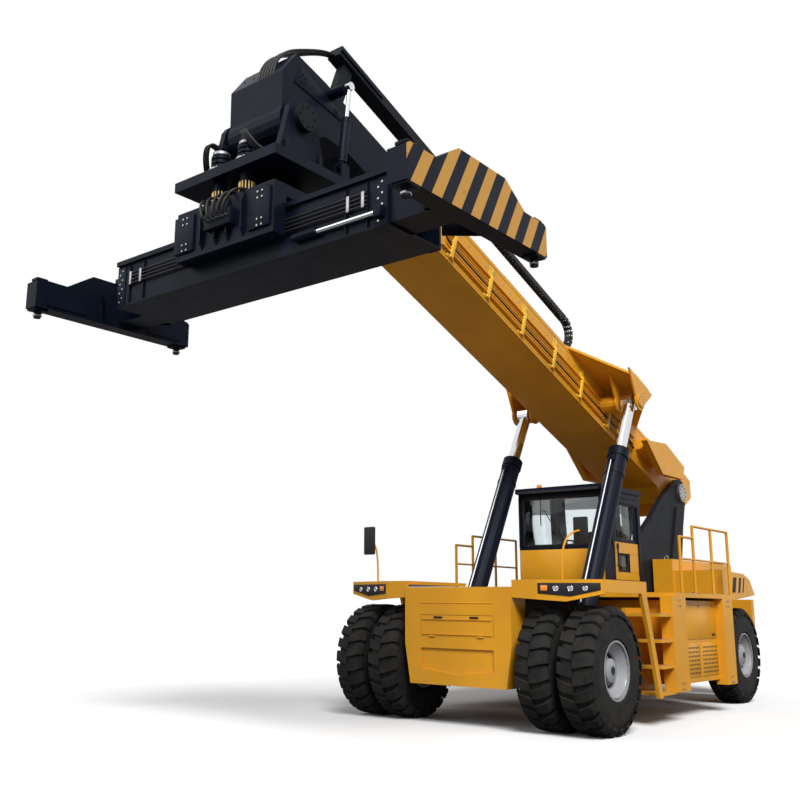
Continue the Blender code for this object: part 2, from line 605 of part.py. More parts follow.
def build_front_wheel(side, name, body):
    """Twin tyres on one rim barrel and hub."""
    middle = side * (DUAL_INNER_X + DUAL_OUTER_X) / 2
    half = (DUAL_OUTER_X - DUAL_INNER_X + TYRE_WIDTH) / 2 - 0.02
    bore = bore_for(SPINDLE_RADIUS, WHEEL_SIDES)
    piece(name + "_inner_tyre", "tyre_rubber", body, tyre_shape(side * DUAL_INNER_X, 0))
    piece(name + "_outer_tyre", "tyre_rubber", body, tyre_shape(side * DUAL_OUTER_X, 0))
    piece(name + "_rim", "rim_silver", body, rim_shape(side, middle, 0, half, 0.30, bore))


def build_rear_wheel(side, name, body):
    """A single tyre and its rim on the steering knuckle's spindle."""
    half = TYRE_WIDTH / 2 - 0.02
    bore = bore_for(KNUCKLE_SPINDLE, WHEEL_SIDES)
    piece(name + "_tyre", "tyre_rubber", body, tyre_shape(side * REAR_WHEEL_X, WHEELBASE))
    piece(name + "_rim", "rim_silver", body,
          rim_shape(side, side * REAR_WHEEL_X, WHEELBASE, half, 0.20, bore))


def build_knuckle(side, name, body):
    """Fork over and under the axle's eye, with the wheel spindle."""
    parts = [
        side_box(side, KINGPIN_X - 0.13, KINGPIN_X + 0.20, (WHEELBASE - 0.12, 0.53),
                 (WHEELBASE + 0.12, 0.60 - GAP)),
        side_box(side, KINGPIN_X + 0.15, KINGPIN_X + 0.20, (WHEELBASE - 0.12, 0.53),
                 (WHEELBASE + 0.12, 1.11)),
        rod((side * (KINGPIN_X + 0.18), WHEELBASE, TYRE_RADIUS),
            (side * (REAR_WHEEL_X + 0.14), WHEELBASE, TYRE_RADIUS), KNUCKLE_SPINDLE, WHEEL_SIDES),
    ]
    piece(name, "graphite_paint", body,
          side_box(side, KINGPIN_X - 0.13, KINGPIN_X + 0.20, (WHEELBASE - 0.12, 1.04 + GAP),
                   (WHEELBASE + 0.12, 1.11)), parts)


# ------------------------------------------------------------------ boom
def build_outer_boom(body):
    """Outer boom: box tube, foot around the pivot, wings over the lift cylinders."""
    low, high, half, wall = BOOM_LOW, BOOM_HIGH, BOOM_HALF, BOOM_WALL
    foot = [(-0.75, low), (-0.50, -0.42), (-0.05, -0.47), (0.32, -0.30), (0.84, 0.30), (0.72, 0.62),
            (-0.30, 0.66), (-0.80, high)]
    foot_inside = [(-0.90, low + wall), (-0.48, low + wall), (-0.02, -0.40), (0.28, -0.24),
                   (0.90, 0.42), (0.70, 0.56), (-0.30, high - wall), (-0.90, high - wall)]
    eye = (-LIFT_EYE_U, LIFT_EYE_W)
    wing_out = LIFT_X + LIFT_BARREL_RADIUS + 0.04
    wing_plan = [(-half + 0.05, -4.70), (half - 0.05, -4.70), (wing_out, -3.50), (wing_out, -2.95),
                 (half - 0.05, -1.75), (-half + 0.05, -1.75), (-wing_out, -2.95), (-wing_out, -3.50)]
    cheek = [(-3.75, high + 0.02), (eye[0] - 0.17, eye[1]), *arc(eye, 0.17, 200, 340, 6),
             (eye[0] + 0.17, eye[1]),
             (-2.80, high + 0.02)]
    flare = [(-2.00, 0.10), (-1.20, -0.19), (-0.30, 0.14), (-0.30, 0.40), (-1.20, 0.44)]
    adds = [
        prism('X', foot, -half, half),
        prism('Z', wing_plan, high - 0.01, high + 0.035),
    ]
    for side in (1, -1):
        inner_face, outer_face = LIFT_X - LIFT_BARREL_RADIUS - 0.01, LIFT_X + LIFT_BARREL_RADIUS + 0.01
        adds.append(side_prism(side, inner_face - 0.03, inner_face, cheek))
        adds.append(side_prism(side, outer_face, outer_face + 0.03, cheek))
        adds.append(rod((side * (half - 0.02), *eye), (side * (inner_face - 0.005), *eye), 0.14, 16))
        adds.append(side_prism(side, TOWER_OUTER_X + 0.06, 0.80, flare))
        adds.append(side_box(side, half - 0.02, 0.72, (-1.80, 0.05), (-1.05, 0.25)))
    cuts = [
        prism('X', foot_inside, -half + 0.06, half - 0.06),
        box((-half + wall, -BOOM_FRONT - 0.1, low + wall), (half - wall, -0.50, high - wall)),
        rod((-0.8, 0, 0), (0.8, 0, 0), bore_for(PIVOT_PIN_RADIUS)),
    ]
    shape = box((-half, -BOOM_FRONT, low), (half, -0.70, high))
    piece("outer_boom", "amber_paint", body, shape, adds, cuts, BOOM_SPACE)


def build_inner_boom(body):
    """Inner boom with its slide pads, and the head that carries the tilt pin."""
    ease = BOOM_WALL + BOOM_RUN
    low, high, half = BOOM_LOW + ease, BOOM_HIGH - ease, BOOM_HALF - ease
    wall = BOOM_WALL
    pin = (-HEAD_PIN_U, HEAD_PIN_W)
    head = [(-10.05, high), (-11.00, high), (-11.55, high - 0.04), (-11.66, 0.02),
            *arc(pin, HEAD_EYE_RADIUS, 170, 350, 10), (-10.75, low - 0.10), (-10.35, low)]
    pad_half = BOOM_HALF - BOOM_WALL - GAP
    rear_pad = (-INNER_REAR - 0.25, -INNER_REAR - 0.05)
    adds = [
        prism('X', head, -half, half),
        box((-pad_half, rear_pad[0], BOOM_LOW + BOOM_WALL + GAP), (pad_half, rear_pad[1],
                                                                  BOOM_HIGH - BOOM_WALL - GAP)),
        rod((-DAMPER_X + 0.06, -DAMPER_EYE_U, DAMPER_EYE_W), (DAMPER_X - 0.06, -DAMPER_EYE_U, DAMPER_EYE_W),
            0.07, 16),
    ]
    cuts = [
        box((-half + wall, -INNER_FRONT, low + wall), (half - wall, -INNER_REAR + 0.1, high - wall)),
        prism('X', [(-INNER_FRONT + 0.1, low + wall), (-11.30, -0.10), (-11.50, 0.05), (-11.45, high - 0.09),
                    (-INNER_FRONT + 0.1, high - wall)], -half + 0.05, half - 0.05),
        rod((-0.8, *pin), (0.8, *pin), bore_for(HEAD_PIN_RADIUS)),
    ]
    shape = box((-half, -INNER_FRONT, low), (half, -INNER_REAR, high))
    piece("inner_boom", "navy_paint", body, shape, adds, cuts, BOOM_SPACE)


def build_chain(outer_body, inner_body):
    """Energy chain on the boom's top, and the tray that the inner boom carries over it."""
    top, depth = CHAIN_UPPER_W, CHAIN_DEPTH
    seat = BOOM_HIGH + 0.035 + GAP
    outer_radius = (top - seat) / 2
    centre = (-(CHAIN_BEND_U + outer_radius), (top + seat) / 2)
    outline = [(-CHAIN_FRONT_U, top), *arc(centre, outer_radius, 90, -90, 10),
               (-6.60, seat), (-6.60, seat + depth), *arc(centre, outer_radius - depth, -90, 90, 10),
               (-CHAIN_FRONT_U, top - depth)]
    piece("energy_chain", "black_plastic", outer_body,
          prism('X', outline, CHAIN_X - CHAIN_WIDTH / 2, CHAIN_X + CHAIN_WIDTH / 2), [], [], BOOM_SPACE)
    clear, wall = 0.03, 0.015
    half = CHAIN_WIDTH / 2 + clear
    under = top - depth - clear
    tray = box((CHAIN_X - half - wall, -10.95, under - wall), (CHAIN_X + half + wall, -8.60, top + 0.02))
    trough = box((CHAIN_X - half, -10.93, under), (CHAIN_X + half, -8.50, top + 0.1))
    post = box((CHAIN_X - 0.06, -10.80, BOOM_HIGH - BOOM_WALL - BOOM_RUN + GAP),
               (CHAIN_X + 0.06, -10.62, under - wall + 0.005))
    piece("chain_tray", "graphite_paint", inner_body, tray, [post], [trough], BOOM_SPACE)


# ------------------------------------------------------------------ cylinders
def cylinder_space(start, end, x):
    """Axes with +Z from one pin to the other, at the given X."""
    run = end - start
    lean = math.atan2(-run.y, run.z)
    return Matrix.Translation((x, start.y, start.z)) @ Matrix.Rotation(lean, 4, 'X')


def eye_shape(half_width, radius):
    """A round eye across the cylinder's axis."""
    return rod((-half_width, 0, 0), (half_width, 0, 0), radius, 16)


def build_lift_cylinder(side, barrel_body, rod_body, name):
    """Lift cylinder between the frame's cross beam and the boom's wing."""
    space = cylinder_space(LIFT_BASE, LIFT_EYE, side * LIFT_X)
    barrel = rod((0, 0, 0.10), (0, 0, LIFT_BARREL_LENGTH), LIFT_BARREL_RADIUS, 20)
    bore = rod((0, 0, 0.24), (0, 0, LIFT_BARREL_LENGTH - 0.12), LIFT_ROD_RADIUS + 0.015, 20)
    gland = rod((0, 0, LIFT_BARREL_LENGTH - 0.14), (0, 0, LIFT_BARREL_LENGTH + 0.1),
                LIFT_ROD_RADIUS + 2 * GAP, 20)
    piece(name + "_barrel", "navy_paint", barrel_body, barrel,
          [eye_shape(LIFT_BARREL_RADIUS - LIFT_EYE_STEP, 0.17)],
          [bore, gland, rod((-0.3, 0, 0), (0.3, 0, 0), bore_for(LIFT_PIN_RADIUS))], space)
    tip = Matrix.Translation((0, 0, LIFT_LENGTH))
    eye = eye_shape(0.10, 0.15)
    eye.transform(tip)
    piece(name + "_rod", "chrome_rod", rod_body,
          rod((0, 0, LIFT_ROD_FOOT), (0, 0, LIFT_LENGTH - 0.05), LIFT_ROD_RADIUS, 20), [eye], [], space)


def build_damper(side, barrel_body, rod_body, name):
    """Swing damper between the hanger's deck and the boom's head."""
    space = cylinder_space(DAMPER_FOOT, DAMPER_EYE, side * DAMPER_X)
    barrel_length, rod_start = 0.66, 0.465
    radius, rod_radius = 0.055, 0.026
    barrel = rod((0, 0, radius), (0, 0, barrel_length), radius, 16)
    bore = rod((0, 0, 0.09), (0, 0, barrel_length - 0.03), rod_radius + 0.008, 16)
    gland = rod((0, 0, barrel_length - 0.05), (0, 0, barrel_length + 0.1), rod_radius + 2 * GAP, 16)
    piece(name + "_barrel", "navy_paint", barrel_body, barrel,
          [eye_shape(DAMPER_EYE_HALF, 0.065)], [bore, gland], space)
    eye = eye_shape(DAMPER_EYE_HALF, 0.055)
    eye.transform(Matrix.Translation((0, 0, DAMPER_LENGTH)))
    piece(name + "_rod", "chrome_rod", rod_body,
          rod((0, 0, rod_start), (0, 0, DAMPER_LENGTH - 0.02), rod_radius, 16), [eye], [], space)


# ------------------------------------------------------------------ spreader
def build_hanger(body):
    """Fork on the tilt pin with the slewing deck, its drives and the damper feet."""
    pin = (TILT_PIN.y, TILT_PIN.z)
    fork = [*arc(pin, HEAD_EYE_RADIUS, 0, 180, 8), (pin[0] - 0.44, DECK_PLATE_BOTTOM + 0.05),
            (pin[0] + 0.44, DECK_PLATE_BOTTOM + 0.05)]
    y = SPREADER_Y
    adds = [
        side_prism(1, FORK_INNER_X, FORK_OUTER_X, fork),
        side_prism(-1, FORK_INNER_X, FORK_OUTER_X, fork),
        rod((-0.62, *pin), (0.62, *pin), HEAD_PIN_RADIUS),
        rod((0, y, RING_TOP), (0, y, DECK_PLATE_BOTTOM + 0.02), 0.40),
    ]
    for side in (1, -1):
        drive = (side * DRIVE_X, y - DRIVE_FORWARD)
        adds.append(rod((*drive, DECK_PLATE_TOP - 0.02), (*drive, 6.74), 0.10, 16))
        adds.append(rod((*drive, 6.73), (*drive, 6.86), 0.06, 12))
        adds.append(rod((*drive, 6.17), (*drive, DECK_PLATE_BOTTOM + 0.02), 0.083, 16))
        for way in (1, -1):
            near = DAMPER_X + way * (DAMPER_EYE_HALF + GAP)
            adds.append(side_box(side, near, near + way * 0.03,
                                 (DAMPER_FOOT.y - 0.07, DECK_PLATE_TOP - 0.02),
                                 (DAMPER_FOOT.y + 0.07, DAMPER_FOOT_Z + 0.01)))
    piece("spreader_hanger", "navy_paint", body,
          box((-0.84, y - 0.70, DECK_PLATE_BOTTOM), (0.84, y + 0.62, DECK_PLATE_TOP)), adds)


def build_rotator(body):
    """Ring gear, lower deck and the side-shift frame that grips the main beam's rails."""
    y = SPREADER_Y
    jaw_in, jaw_out = BEAM_HALF_DEPTH + 0.02, 0.66
    adds = [rod((0, y, 6.10), (0, y, RING_TOP - GAP), RING_RADIUS, 28)]
    cuts = []
    for side in (1, -1):
        y0, y1 = sorted((y + side * jaw_in, y + side * jaw_out))
        adds.append(box((-SHIFT_FRAME_HALF, y0, 5.52), (SHIFT_FRAME_HALF, y1, 6.12)))
    cuts.append(box((-1, y - RAIL_HALF - ARM_CLEAR, BEAM_TOP - GAP),
                    (1, y + RAIL_HALF + ARM_CLEAR, RAIL_TOP + GAP)))
    piece("rotator", "navy_paint", body,
          box((-SHIFT_FRAME_HALF, y - jaw_out, 5.98), (SHIFT_FRAME_HALF, y + jaw_out, 6.12)), adds, cuts)


def build_beam(body):
    """Main beam with its rails and the two channels that the arms slide in."""
    y, half, wall = SPREADER_Y, BEAM_HALF_DEPTH, BEAM_WALL
    length = BEAM_HALF_LENGTH
    shape = box((-length, y - half, BEAM_BOTTOM), (length, y + half, BEAM_TOP + 0.01))
    rail = box((-length, y - RAIL_HALF, BEAM_TOP), (length, y + RAIL_HALF, RAIL_TOP))
    cuts = []
    for side in (1, -1):
        y0, y1 = sorted((y + side * wall / 2, y + side * (half - wall)))
        cuts.append(box((-length - 0.1, y0, BEAM_BOTTOM + wall), (length + 0.1, y1, BEAM_TOP - wall)))
    piece("spreader_beam", "navy_paint", body, shape, [rail], cuts)


def build_arm(side, name, body):
    """Telescopic arm with its end beam and two twistlocks; the left one runs in front."""
    y, wall = SPREADER_Y, 0.03
    channel = sorted((y - side * BEAM_WALL / 2, y - side * (BEAM_HALF_DEPTH - BEAM_WALL)))
    y0, y1 = channel[0] + ARM_CLEAR, channel[1] - ARM_CLEAR
    z0, z1 = BEAM_BOTTOM + BEAM_WALL + GAP, BEAM_TOP - BEAM_WALL - ARM_CLEAR
    end_view = [(y - END_HALF_LENGTH, END_BOTTOM), (y + END_HALF_LENGTH, END_BOTTOM),
                (y + END_HALF_LENGTH, END_TOP - 0.03), (y + END_HALF_LENGTH - 0.05, END_TOP),
                (y + 0.80, END_TOP), (y + 0.42, END_MIDDLE_TOP), (y - 0.42, END_MIDDLE_TOP),
                (y - 0.80, END_TOP), (y - END_HALF_LENGTH + 0.05, END_TOP),
                (y - END_HALF_LENGTH, END_TOP - 0.03)]
    adds = [side_prism(side, END_INNER_X, END_OUTER_X, end_view)]
    for ahead in (1, -1):
        lock = (side * LOCK_X, y + ahead * LOCK_Y)
        adds.append(rod((*lock, LOCK_TIP), (*lock, END_BOTTOM + 0.05), LOCK_RADIUS, 12))
    x0, x1 = across(side, -ARM_TAIL_X, END_INNER_X + 0.05)
    hollow_x = across(side, -ARM_TAIL_X - 0.1, END_INNER_X - 0.05)
    cuts = [box((hollow_x[0], y0 + wall, z0 + wall), (hollow_x[1], y1 - wall, z1 - wall))]
    piece(name, "navy_paint", body, box((x0, y0, z0), (x1, y1, z1)), adds, cuts)


# ------------------------------------------------------------------ assembly
def build():
    """Every joint's empty and every piece on it."""
    for obj in list(bpy.data.objects):
        bpy.data.objects.remove(obj)

    machine = joint("machine", (0, 0, 0))
    build_frame(machine)
    build_axles(machine)
    build_nose(machine)
    build_fenders(machine)
    build_side_boxes(machine)
    build_handrails(machine)
    build_rear(machine)
    build_tower(machine)
    build_cab(machine)
    build_hatch(joint("nose_hatch_joint", (0, HATCH_HINGE_Y, HATCH_HINGE_Z), machine))
    build_door(joint("door_joint", (CAB_HALF + 0.012, DOOR_REAR_Y - 0.012, DOOR_LOW), machine))

    boom = joint("boom_lift_joint", (0, PIVOT_Y, PIVOT_Z), machine)
    telescope = joint("boom_extend_joint", boom_point(INNER_REAR, 0), boom)
    hanger = joint("spreader_tilt_joint", TILT_PIN, telescope)
    rotator = joint("slew_joint", (0, SPREADER_Y, RING_TOP), hanger)
    beam = joint("side_shift_joint", (0, SPREADER_Y, BEAM_BOTTOM), rotator)
    build_outer_boom(boom)
    build_inner_boom(telescope)
    build_chain(boom, telescope)
    build_hanger(hanger)
    build_rotator(rotator)
    build_beam(beam)

    for side, word in ((1, "left"), (-1, "right")):
        wheel = joint(f"front_{word}_wheel_joint", (side * DUAL_OUTER_X, 0, TYRE_RADIUS), machine)
        build_front_wheel(side, f"front_{word}", wheel)
        steer = joint(f"{word}_steer_joint", (side * KINGPIN_X, WHEELBASE, TYRE_RADIUS), machine)
        build_knuckle(side, f"{word}_knuckle", steer)
        rear = joint(f"rear_{word}_wheel_joint", (side * REAR_WHEEL_X, WHEELBASE, TYRE_RADIUS), steer)
        build_rear_wheel(side, f"rear_{word}", rear)

        lift_base = joint(f"{word}_lift_base_joint", (side * LIFT_X, LIFT_BASE_Y, LIFT_BASE_Z), machine)
        lift_rod = joint(f"{word}_lift_rod_joint", (side * LIFT_X, LIFT_EYE.y, LIFT_EYE.z), lift_base)
        build_lift_cylinder(side, lift_base, lift_rod, f"{word}_lift")

        foot = joint(f"{word}_damper_joint", (side * DAMPER_X, DAMPER_FOOT.y, DAMPER_FOOT_Z), hanger)
        eye = joint(f"{word}_damper_rod_joint", (side * DAMPER_X, DAMPER_EYE.y, DAMPER_EYE.z), foot)
        build_damper(side, foot, eye, f"{word}_damper")

        arm = joint(f"{word}_arm_joint", (side * END_INNER_X, SPREADER_Y, BEAM_BOTTOM), beam)
        build_arm(side, f"{word}_arm", arm)

    machine.location.y = -MIDDLE_Y


build()
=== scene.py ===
"""Finishes and fine detail for a reach stacker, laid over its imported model."""

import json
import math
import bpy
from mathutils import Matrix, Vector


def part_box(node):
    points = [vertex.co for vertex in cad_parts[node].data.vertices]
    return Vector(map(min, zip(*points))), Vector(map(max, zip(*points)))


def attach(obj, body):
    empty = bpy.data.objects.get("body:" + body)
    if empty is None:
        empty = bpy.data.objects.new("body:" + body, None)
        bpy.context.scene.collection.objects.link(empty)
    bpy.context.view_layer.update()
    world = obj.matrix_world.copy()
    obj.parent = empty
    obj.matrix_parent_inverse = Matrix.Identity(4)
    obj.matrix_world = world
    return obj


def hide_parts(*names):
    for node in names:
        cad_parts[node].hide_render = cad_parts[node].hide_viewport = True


bl_info = {
    "name": "Reach stacker finish",
    "version": (1, 0, 0),
    "blender": (4, 5, 0),
    "location": "View3D > Sidebar > Reach stacker",
    "description": "Gives a reach stacker its paint, tyres, glass, pipework and lamps",
    "category": "Object",
}

import bmesh
import bpy
from bpy.props import FloatProperty, FloatVectorProperty, IntProperty, PointerProperty
from mathutils import Matrix, Vector

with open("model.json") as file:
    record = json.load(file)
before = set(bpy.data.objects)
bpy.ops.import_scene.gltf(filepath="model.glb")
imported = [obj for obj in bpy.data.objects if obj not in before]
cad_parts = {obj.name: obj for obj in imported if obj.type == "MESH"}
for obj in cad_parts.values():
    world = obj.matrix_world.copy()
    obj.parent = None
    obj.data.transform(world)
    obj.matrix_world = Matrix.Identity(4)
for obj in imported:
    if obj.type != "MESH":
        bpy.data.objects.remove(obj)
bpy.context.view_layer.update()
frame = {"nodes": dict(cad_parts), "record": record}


# ------------------------------------------------------------------ places read from the frame
def corner(node, which):
    """The lowest (0) or highest (1) corner of a CAD node."""
    return Vector(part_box(node)[which])


def joint_of(name):
    """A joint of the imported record."""
    return next(j for j in frame["record"]["behaviour"]["joints"] if j["name"] == name)


AXLE_Y = (corner("front_axle", 0).y + corner("front_axle", 1).y) / 2
PIVOT = Vector(joint_of("boom_lift")["pos_m"])
RUN = Vector(joint_of("boom_extend")["axis"])
BOOM_SPACE = (Matrix.Translation(PIVOT)
              @ Matrix.Rotation(-math.atan2(-RUN.z, RUN.y), 4, 'X'))
BEAM_Y = (corner("spreader_beam", 0).y + corner("spreader_beam", 1).y) / 2
CAB_LOW, CAB_HIGH = corner("cab_floor", 0), corner("cab_roof", 1)
CAB_SIDE = CAB_HIGH.x - 0.02
TYRES = ("front_left_inner_tyre", "front_left_outer_tyre", "front_right_inner_tyre",
         "front_right_outer_tyre", "rear_left_tyre", "rear_right_tyre")
RIMS = ("front_left_rim", "front_right_rim", "rear_left_rim", "rear_right_rim")
SIDES = ((1, "left"), (-1, "right"))
DAMPER_BARREL_RADIUS = 0.055
LIFT_BARREL_RADIUS = 0.155
LIFT_BARREL_LENGTH = 3.40
LIFT_PIN = (-3.223, 0.1685)
HANGER_TOP = 6.52
CAMERA_PLACE = (7.646, -11.973, 1.606)
CAMERA_TURN, CAMERA_PITCH, CAMERA_ROLL = 40.288, 12.057, 0.605


def at(x, y, z):
    """A place given from the middle of the front axle, at ground level."""
    return Vector((x, y + AXLE_Y, z))


def body_for(node):
    """The name of the body that a CAD node rides on."""
    return next(b for b, nodes in frame["record"]["behaviour"]["bodies"].items() if node in nodes)


# ------------------------------------------------------------------ sizes and colours
class StackerSizes(bpy.types.PropertyGroup):
    """Sizes of the fine detail."""
    lug_count: IntProperty(name="Tyre lugs", description="Lugs on each side of a tyre", default=24, min=8)
    lug_depth: FloatProperty(name="Lug depth", description="How deep the tread is",
                             default=0.036, unit='LENGTH')
    hose_radius: FloatProperty(name="Hose radius", description="Radius of a hydraulic hose",
                               default=0.017, unit='LENGTH')
    pane: FloatProperty(name="Pane", description="Thickness of a window pane", default=0.006, unit='LENGTH')
    stripe: FloatProperty(name="Stripe", description="Width of a warning stripe",
                          default=0.16, unit='LENGTH')


def colour_property(name, description, value):
    """A colour that a user may change."""
    return FloatVectorProperty(name=name, description=description, subtype='COLOR', size=3,
                               min=0.0, max=1.0, default=value)


class StackerColours(bpy.types.PropertyGroup):
    """Colours of the machine's finishes."""
    amber: colour_property("Amber", "Body paint", (0.76, 0.345, 0.018))
    navy: colour_property("Navy", "Boom head, spreader and cab paint", (0.0040, 0.0066, 0.0150))
    graphite: colour_property("Graphite", "Frame paint", (0.010, 0.012, 0.016))
    rubber: colour_property("Rubber", "Tyres", (0.013, 0.0125, 0.012))
    silver: colour_property("Silver", "Wheel paint", (0.30, 0.305, 0.315))
    clamp: colour_property("Clamp yellow", "Pipe clamps on the boom", (0.86, 0.50, 0.03))
    stripe: colour_property("Stripe orange", "Warning stripes", (0.62, 0.32, 0.075))
    lens: colour_property("Lens amber", "Beacon and turn lamps", (0.95, 0.28, 0.02))
    stop: colour_property("Lens red", "Stop lamps", (0.55, 0.01, 0.01))


# ------------------------------------------------------------------ shader maths
class Value:
    """A socket in a node tree, with arithmetic that adds Math nodes."""

    def __init__(self, shader, socket):
        self.shader, self.socket = shader, socket

    def math(self, operation, first, second):
        return self.shader.node("ShaderNodeMath", {"operation": operation, "use_clamp": False},
                                {0: first, 1: second})

    def __add__(self, other):
        return self.math('ADD', self, other)

    def __sub__(self, other):
        return self.math('SUBTRACT', self, other)

    def __rsub__(self, other):
        return self.math('SUBTRACT', other, self)

    def __mul__(self, other):
        return self.math('MULTIPLY', self, other)

    def __truediv__(self, other):
        return self.math('DIVIDE', self, other)

    def above(self, other):
        return self.math('GREATER_THAN', self, other)

    def wrapped(self, length):
        return self.math('FLOORED_MODULO', self, length)

    def limited(self):
        return self.math('MINIMUM', self.math('MAXIMUM', self, 0.0), 1.0)

    __radd__ = __add__
    __rmul__ = __mul__


class Shader:
    """A material with one Principled shader, and the ways to add nodes to it."""

    def __init__(self, name, colour, roughness, metallic=0.0, **fixed):
        self.material = bpy.data.materials.new(name)
        self.material.use_nodes = True
        self.tree = self.material.node_tree
        self.main = self.tree.nodes["Principled BSDF"]
        self.colour = (*colour, 1.0)
        self.material.diffuse_color = self.colour
        self.main.inputs["Base Color"].default_value = self.colour
        self.main.inputs["Roughness"].default_value = roughness
        self.main.inputs["Metallic"].default_value = metallic
        for socket, value in fixed.items():
            self.main.inputs[socket.replace("_", " ")].default_value = value

    def node(self, kind, settings, sockets, output=0):
        """A new node's output; settings are set first, then its sockets."""
        made = self.tree.nodes.new(kind)
        for name, value in settings.items():
            setattr(made, name, value)
        for key, value in sockets.items():
            if isinstance(value, Value):
                self.tree.links.new(value.socket, made.inputs[key])
            else:
                made.inputs[key].default_value = value
        return Value(self, made.outputs[output])

    def place(self):
        """The point on the surface, in the object's own coordinates."""
        return self.node("ShaderNodeTexCoord", {}, {}, "Object")

    def part(self, axis):
        """One coordinate of that point."""
        return self.node("ShaderNodeSeparateXYZ", {}, {0: self.place()}, "XYZ".index(axis))

    def noise(self, scale, detail=4.0):
        """Cloudy values about 0.5."""
        return self.node("ShaderNodeTexNoise", {},
                         {"Vector": self.place(), "Scale": scale, "Detail": detail})

    def cells(self, scale):
        """Distance to the nearest of scattered points."""
        return self.node("ShaderNodeTexVoronoi", {}, {"Vector": self.place(), "Scale": scale})

    def mix(self, mask, first, second):
        """Two colours mixed by a mask."""
        return self.node("ShaderNodeMix", {"data_type": 'RGBA'}, {0: mask, 6: first, 7: second}, 2)

    def steps(self, value, low, high):
        """A value spread from 0 at low to 1 at high."""
        return ((value - low) / (high - low)).limited()

    def feed(self, socket, value):
        """Joins a value to the main shader."""
        self.tree.links.new(value.socket, self.main.inputs[socket])

    def bump(self, height, strength, distance=0.002):
        """Raises the surface by a height."""
        self.feed("Normal", self.node("ShaderNodeBump", {}, {"Strength": strength, "Distance": distance,
                                                             "Height": height}))


def shade(colour, factor):
    """A colour made lighter or darker."""
    return tuple(min(1.0, c * factor) for c in colour)


DUST = (0.22, 0.18, 0.13, 1.0)
FINISHED = {}


def paint(name, colour, roughness, dust_top, dust_amount, coat=0.25, specular=0.3):
    """Machine paint: soft colour drift, fine orange peel, and dust thrown up from below."""
    s = Shader(name, colour, roughness, Coat_Weight=coat, Coat_Roughness=0.12, Specular_IOR_Level=specular)
    drift = s.noise(0.9, 3.0)
    base = s.mix(s.steps(drift, 0.35, 0.70), (*shade(colour, 0.90), 1.0), (*shade(colour, 1.08), 1.0))
    low = s.steps(s.part('Z'), dust_top, dust_top * 0.25)
    speckle = s.steps(s.noise(7.0, 8.0), 0.42, 0.72)
    dusty = low * speckle * dust_amount
    streak = s.steps(s.noise(2.4, 6.0), 0.55, 0.80) * (dust_amount * 0.25)
    s.feed("Base Color", s.mix((dusty + streak).limited(), base, DUST))
    s.feed("Roughness", s.noise(3.0, 5.0) * 0.16 + (roughness - 0.06) + dusty * 0.4)
    s.bump(s.noise(55.0, 2.0), 0.05, 0.001)
    return s.material


def rubber(colour):
    """Tyre rubber: dull, faintly dusty in patches."""
    s = Shader("tyre_rubber_finish", colour, 0.82, Specular_IOR_Level=0.2)
    dusty = s.steps(s.noise(5.0, 8.0), 0.40, 0.75) * 0.25
    s.feed("Base Color", s.mix(dusty, s.colour, (0.070, 0.062, 0.052, 1.0)))
    s.feed("Roughness", s.noise(9.0, 4.0) * 0.2 + 0.70)
    s.bump(s.noise(70.0, 4.0), 0.25, 0.002)
    return s.material


def metal(name, colour, roughness, grain, strength=0.05):
    """Bare or polished metal with a fine grain."""
    s = Shader(name, colour, roughness, 1.0)
    s.feed("Roughness", s.noise(grain, 5.0) * 0.14 + (roughness - 0.05))
    s.feed("Base Color", s.mix(s.noise(grain / 6, 3.0), (*shade(colour, 0.85), 1.0), (*colour, 1.0)))
    s.bump(s.noise(grain * 2, 2.0), strength, 0.001)
    return s.material


def plastic(name, colour, roughness):
    """Moulded plastic or hose cover with a pebbled skin."""
    s = Shader(name, colour, roughness, Specular_IOR_Level=0.25)
    s.feed("Roughness", s.noise(30.0, 3.0) * 0.15 + (roughness - 0.07))
    s.bump(s.cells(160.0), 0.12, 0.0006)
    return s.material


def lens(name, colour):
    """Lamp lens with a ribbed surface."""
    s = Shader(name, colour, 0.12, Coat_Weight=0.6)
    s.bump(s.part('Z').wrapped(0.01), 0.2, 0.001)
    return s.material


def striped(name, stripe, ground, width, face):
    """Dark paint with slanted warning stripes on the faces that lie this far out along X."""
    s = Shader(name, ground, 0.40, Specular_IOR_Level=0.09)
    outer = s.node("ShaderNodeMath", {"operation": 'ABSOLUTE'}, {0: s.part('X')}).above(face - 0.0015)
    slant = (s.part('Y') - s.part('Z') * 0.55).wrapped(width * 2)
    worn = 1 - s.steps(s.noise(6.0, 8.0), 0.66, 0.78) * 0.5
    s.feed("Base Color", s.mix(outer * (1 - slant.above(width)) * worn, s.colour, (*stripe, 1.0)))
    s.feed("Roughness", s.noise(3.0, 5.0) * 0.16 + 0.34)
    s.bump(s.noise(55.0, 2.0), 0.05, 0.001)
    return s.material


def cloth(name, colour):
    """Coarse woven seat cloth."""
    s = Shader(name, colour, 0.92, Sheen_Weight=0.25)
    warp = s.part('X').wrapped(0.004).above(0.002)
    weft = s.part('Z').wrapped(0.004).above(0.002)
    weave = warp * weft + (1 - warp) * (1 - weft)
    s.feed("Base Color", s.mix(weave * 0.5, s.colour, (*shade(colour, 2.2), 1.0)))
    s.bump(weave, 0.3, 0.0006)
    return s.material


def glass():
    """Tinted cab glass."""
    s = Shader("cab_glass", (0.86, 0.90, 0.91), 0.02, Transmission_Weight=1.0, IOR=1.30)
    s.feed("Roughness", s.steps(s.noise(4.0, 6.0), 0.60, 0.90) * 0.04)
    return s.material


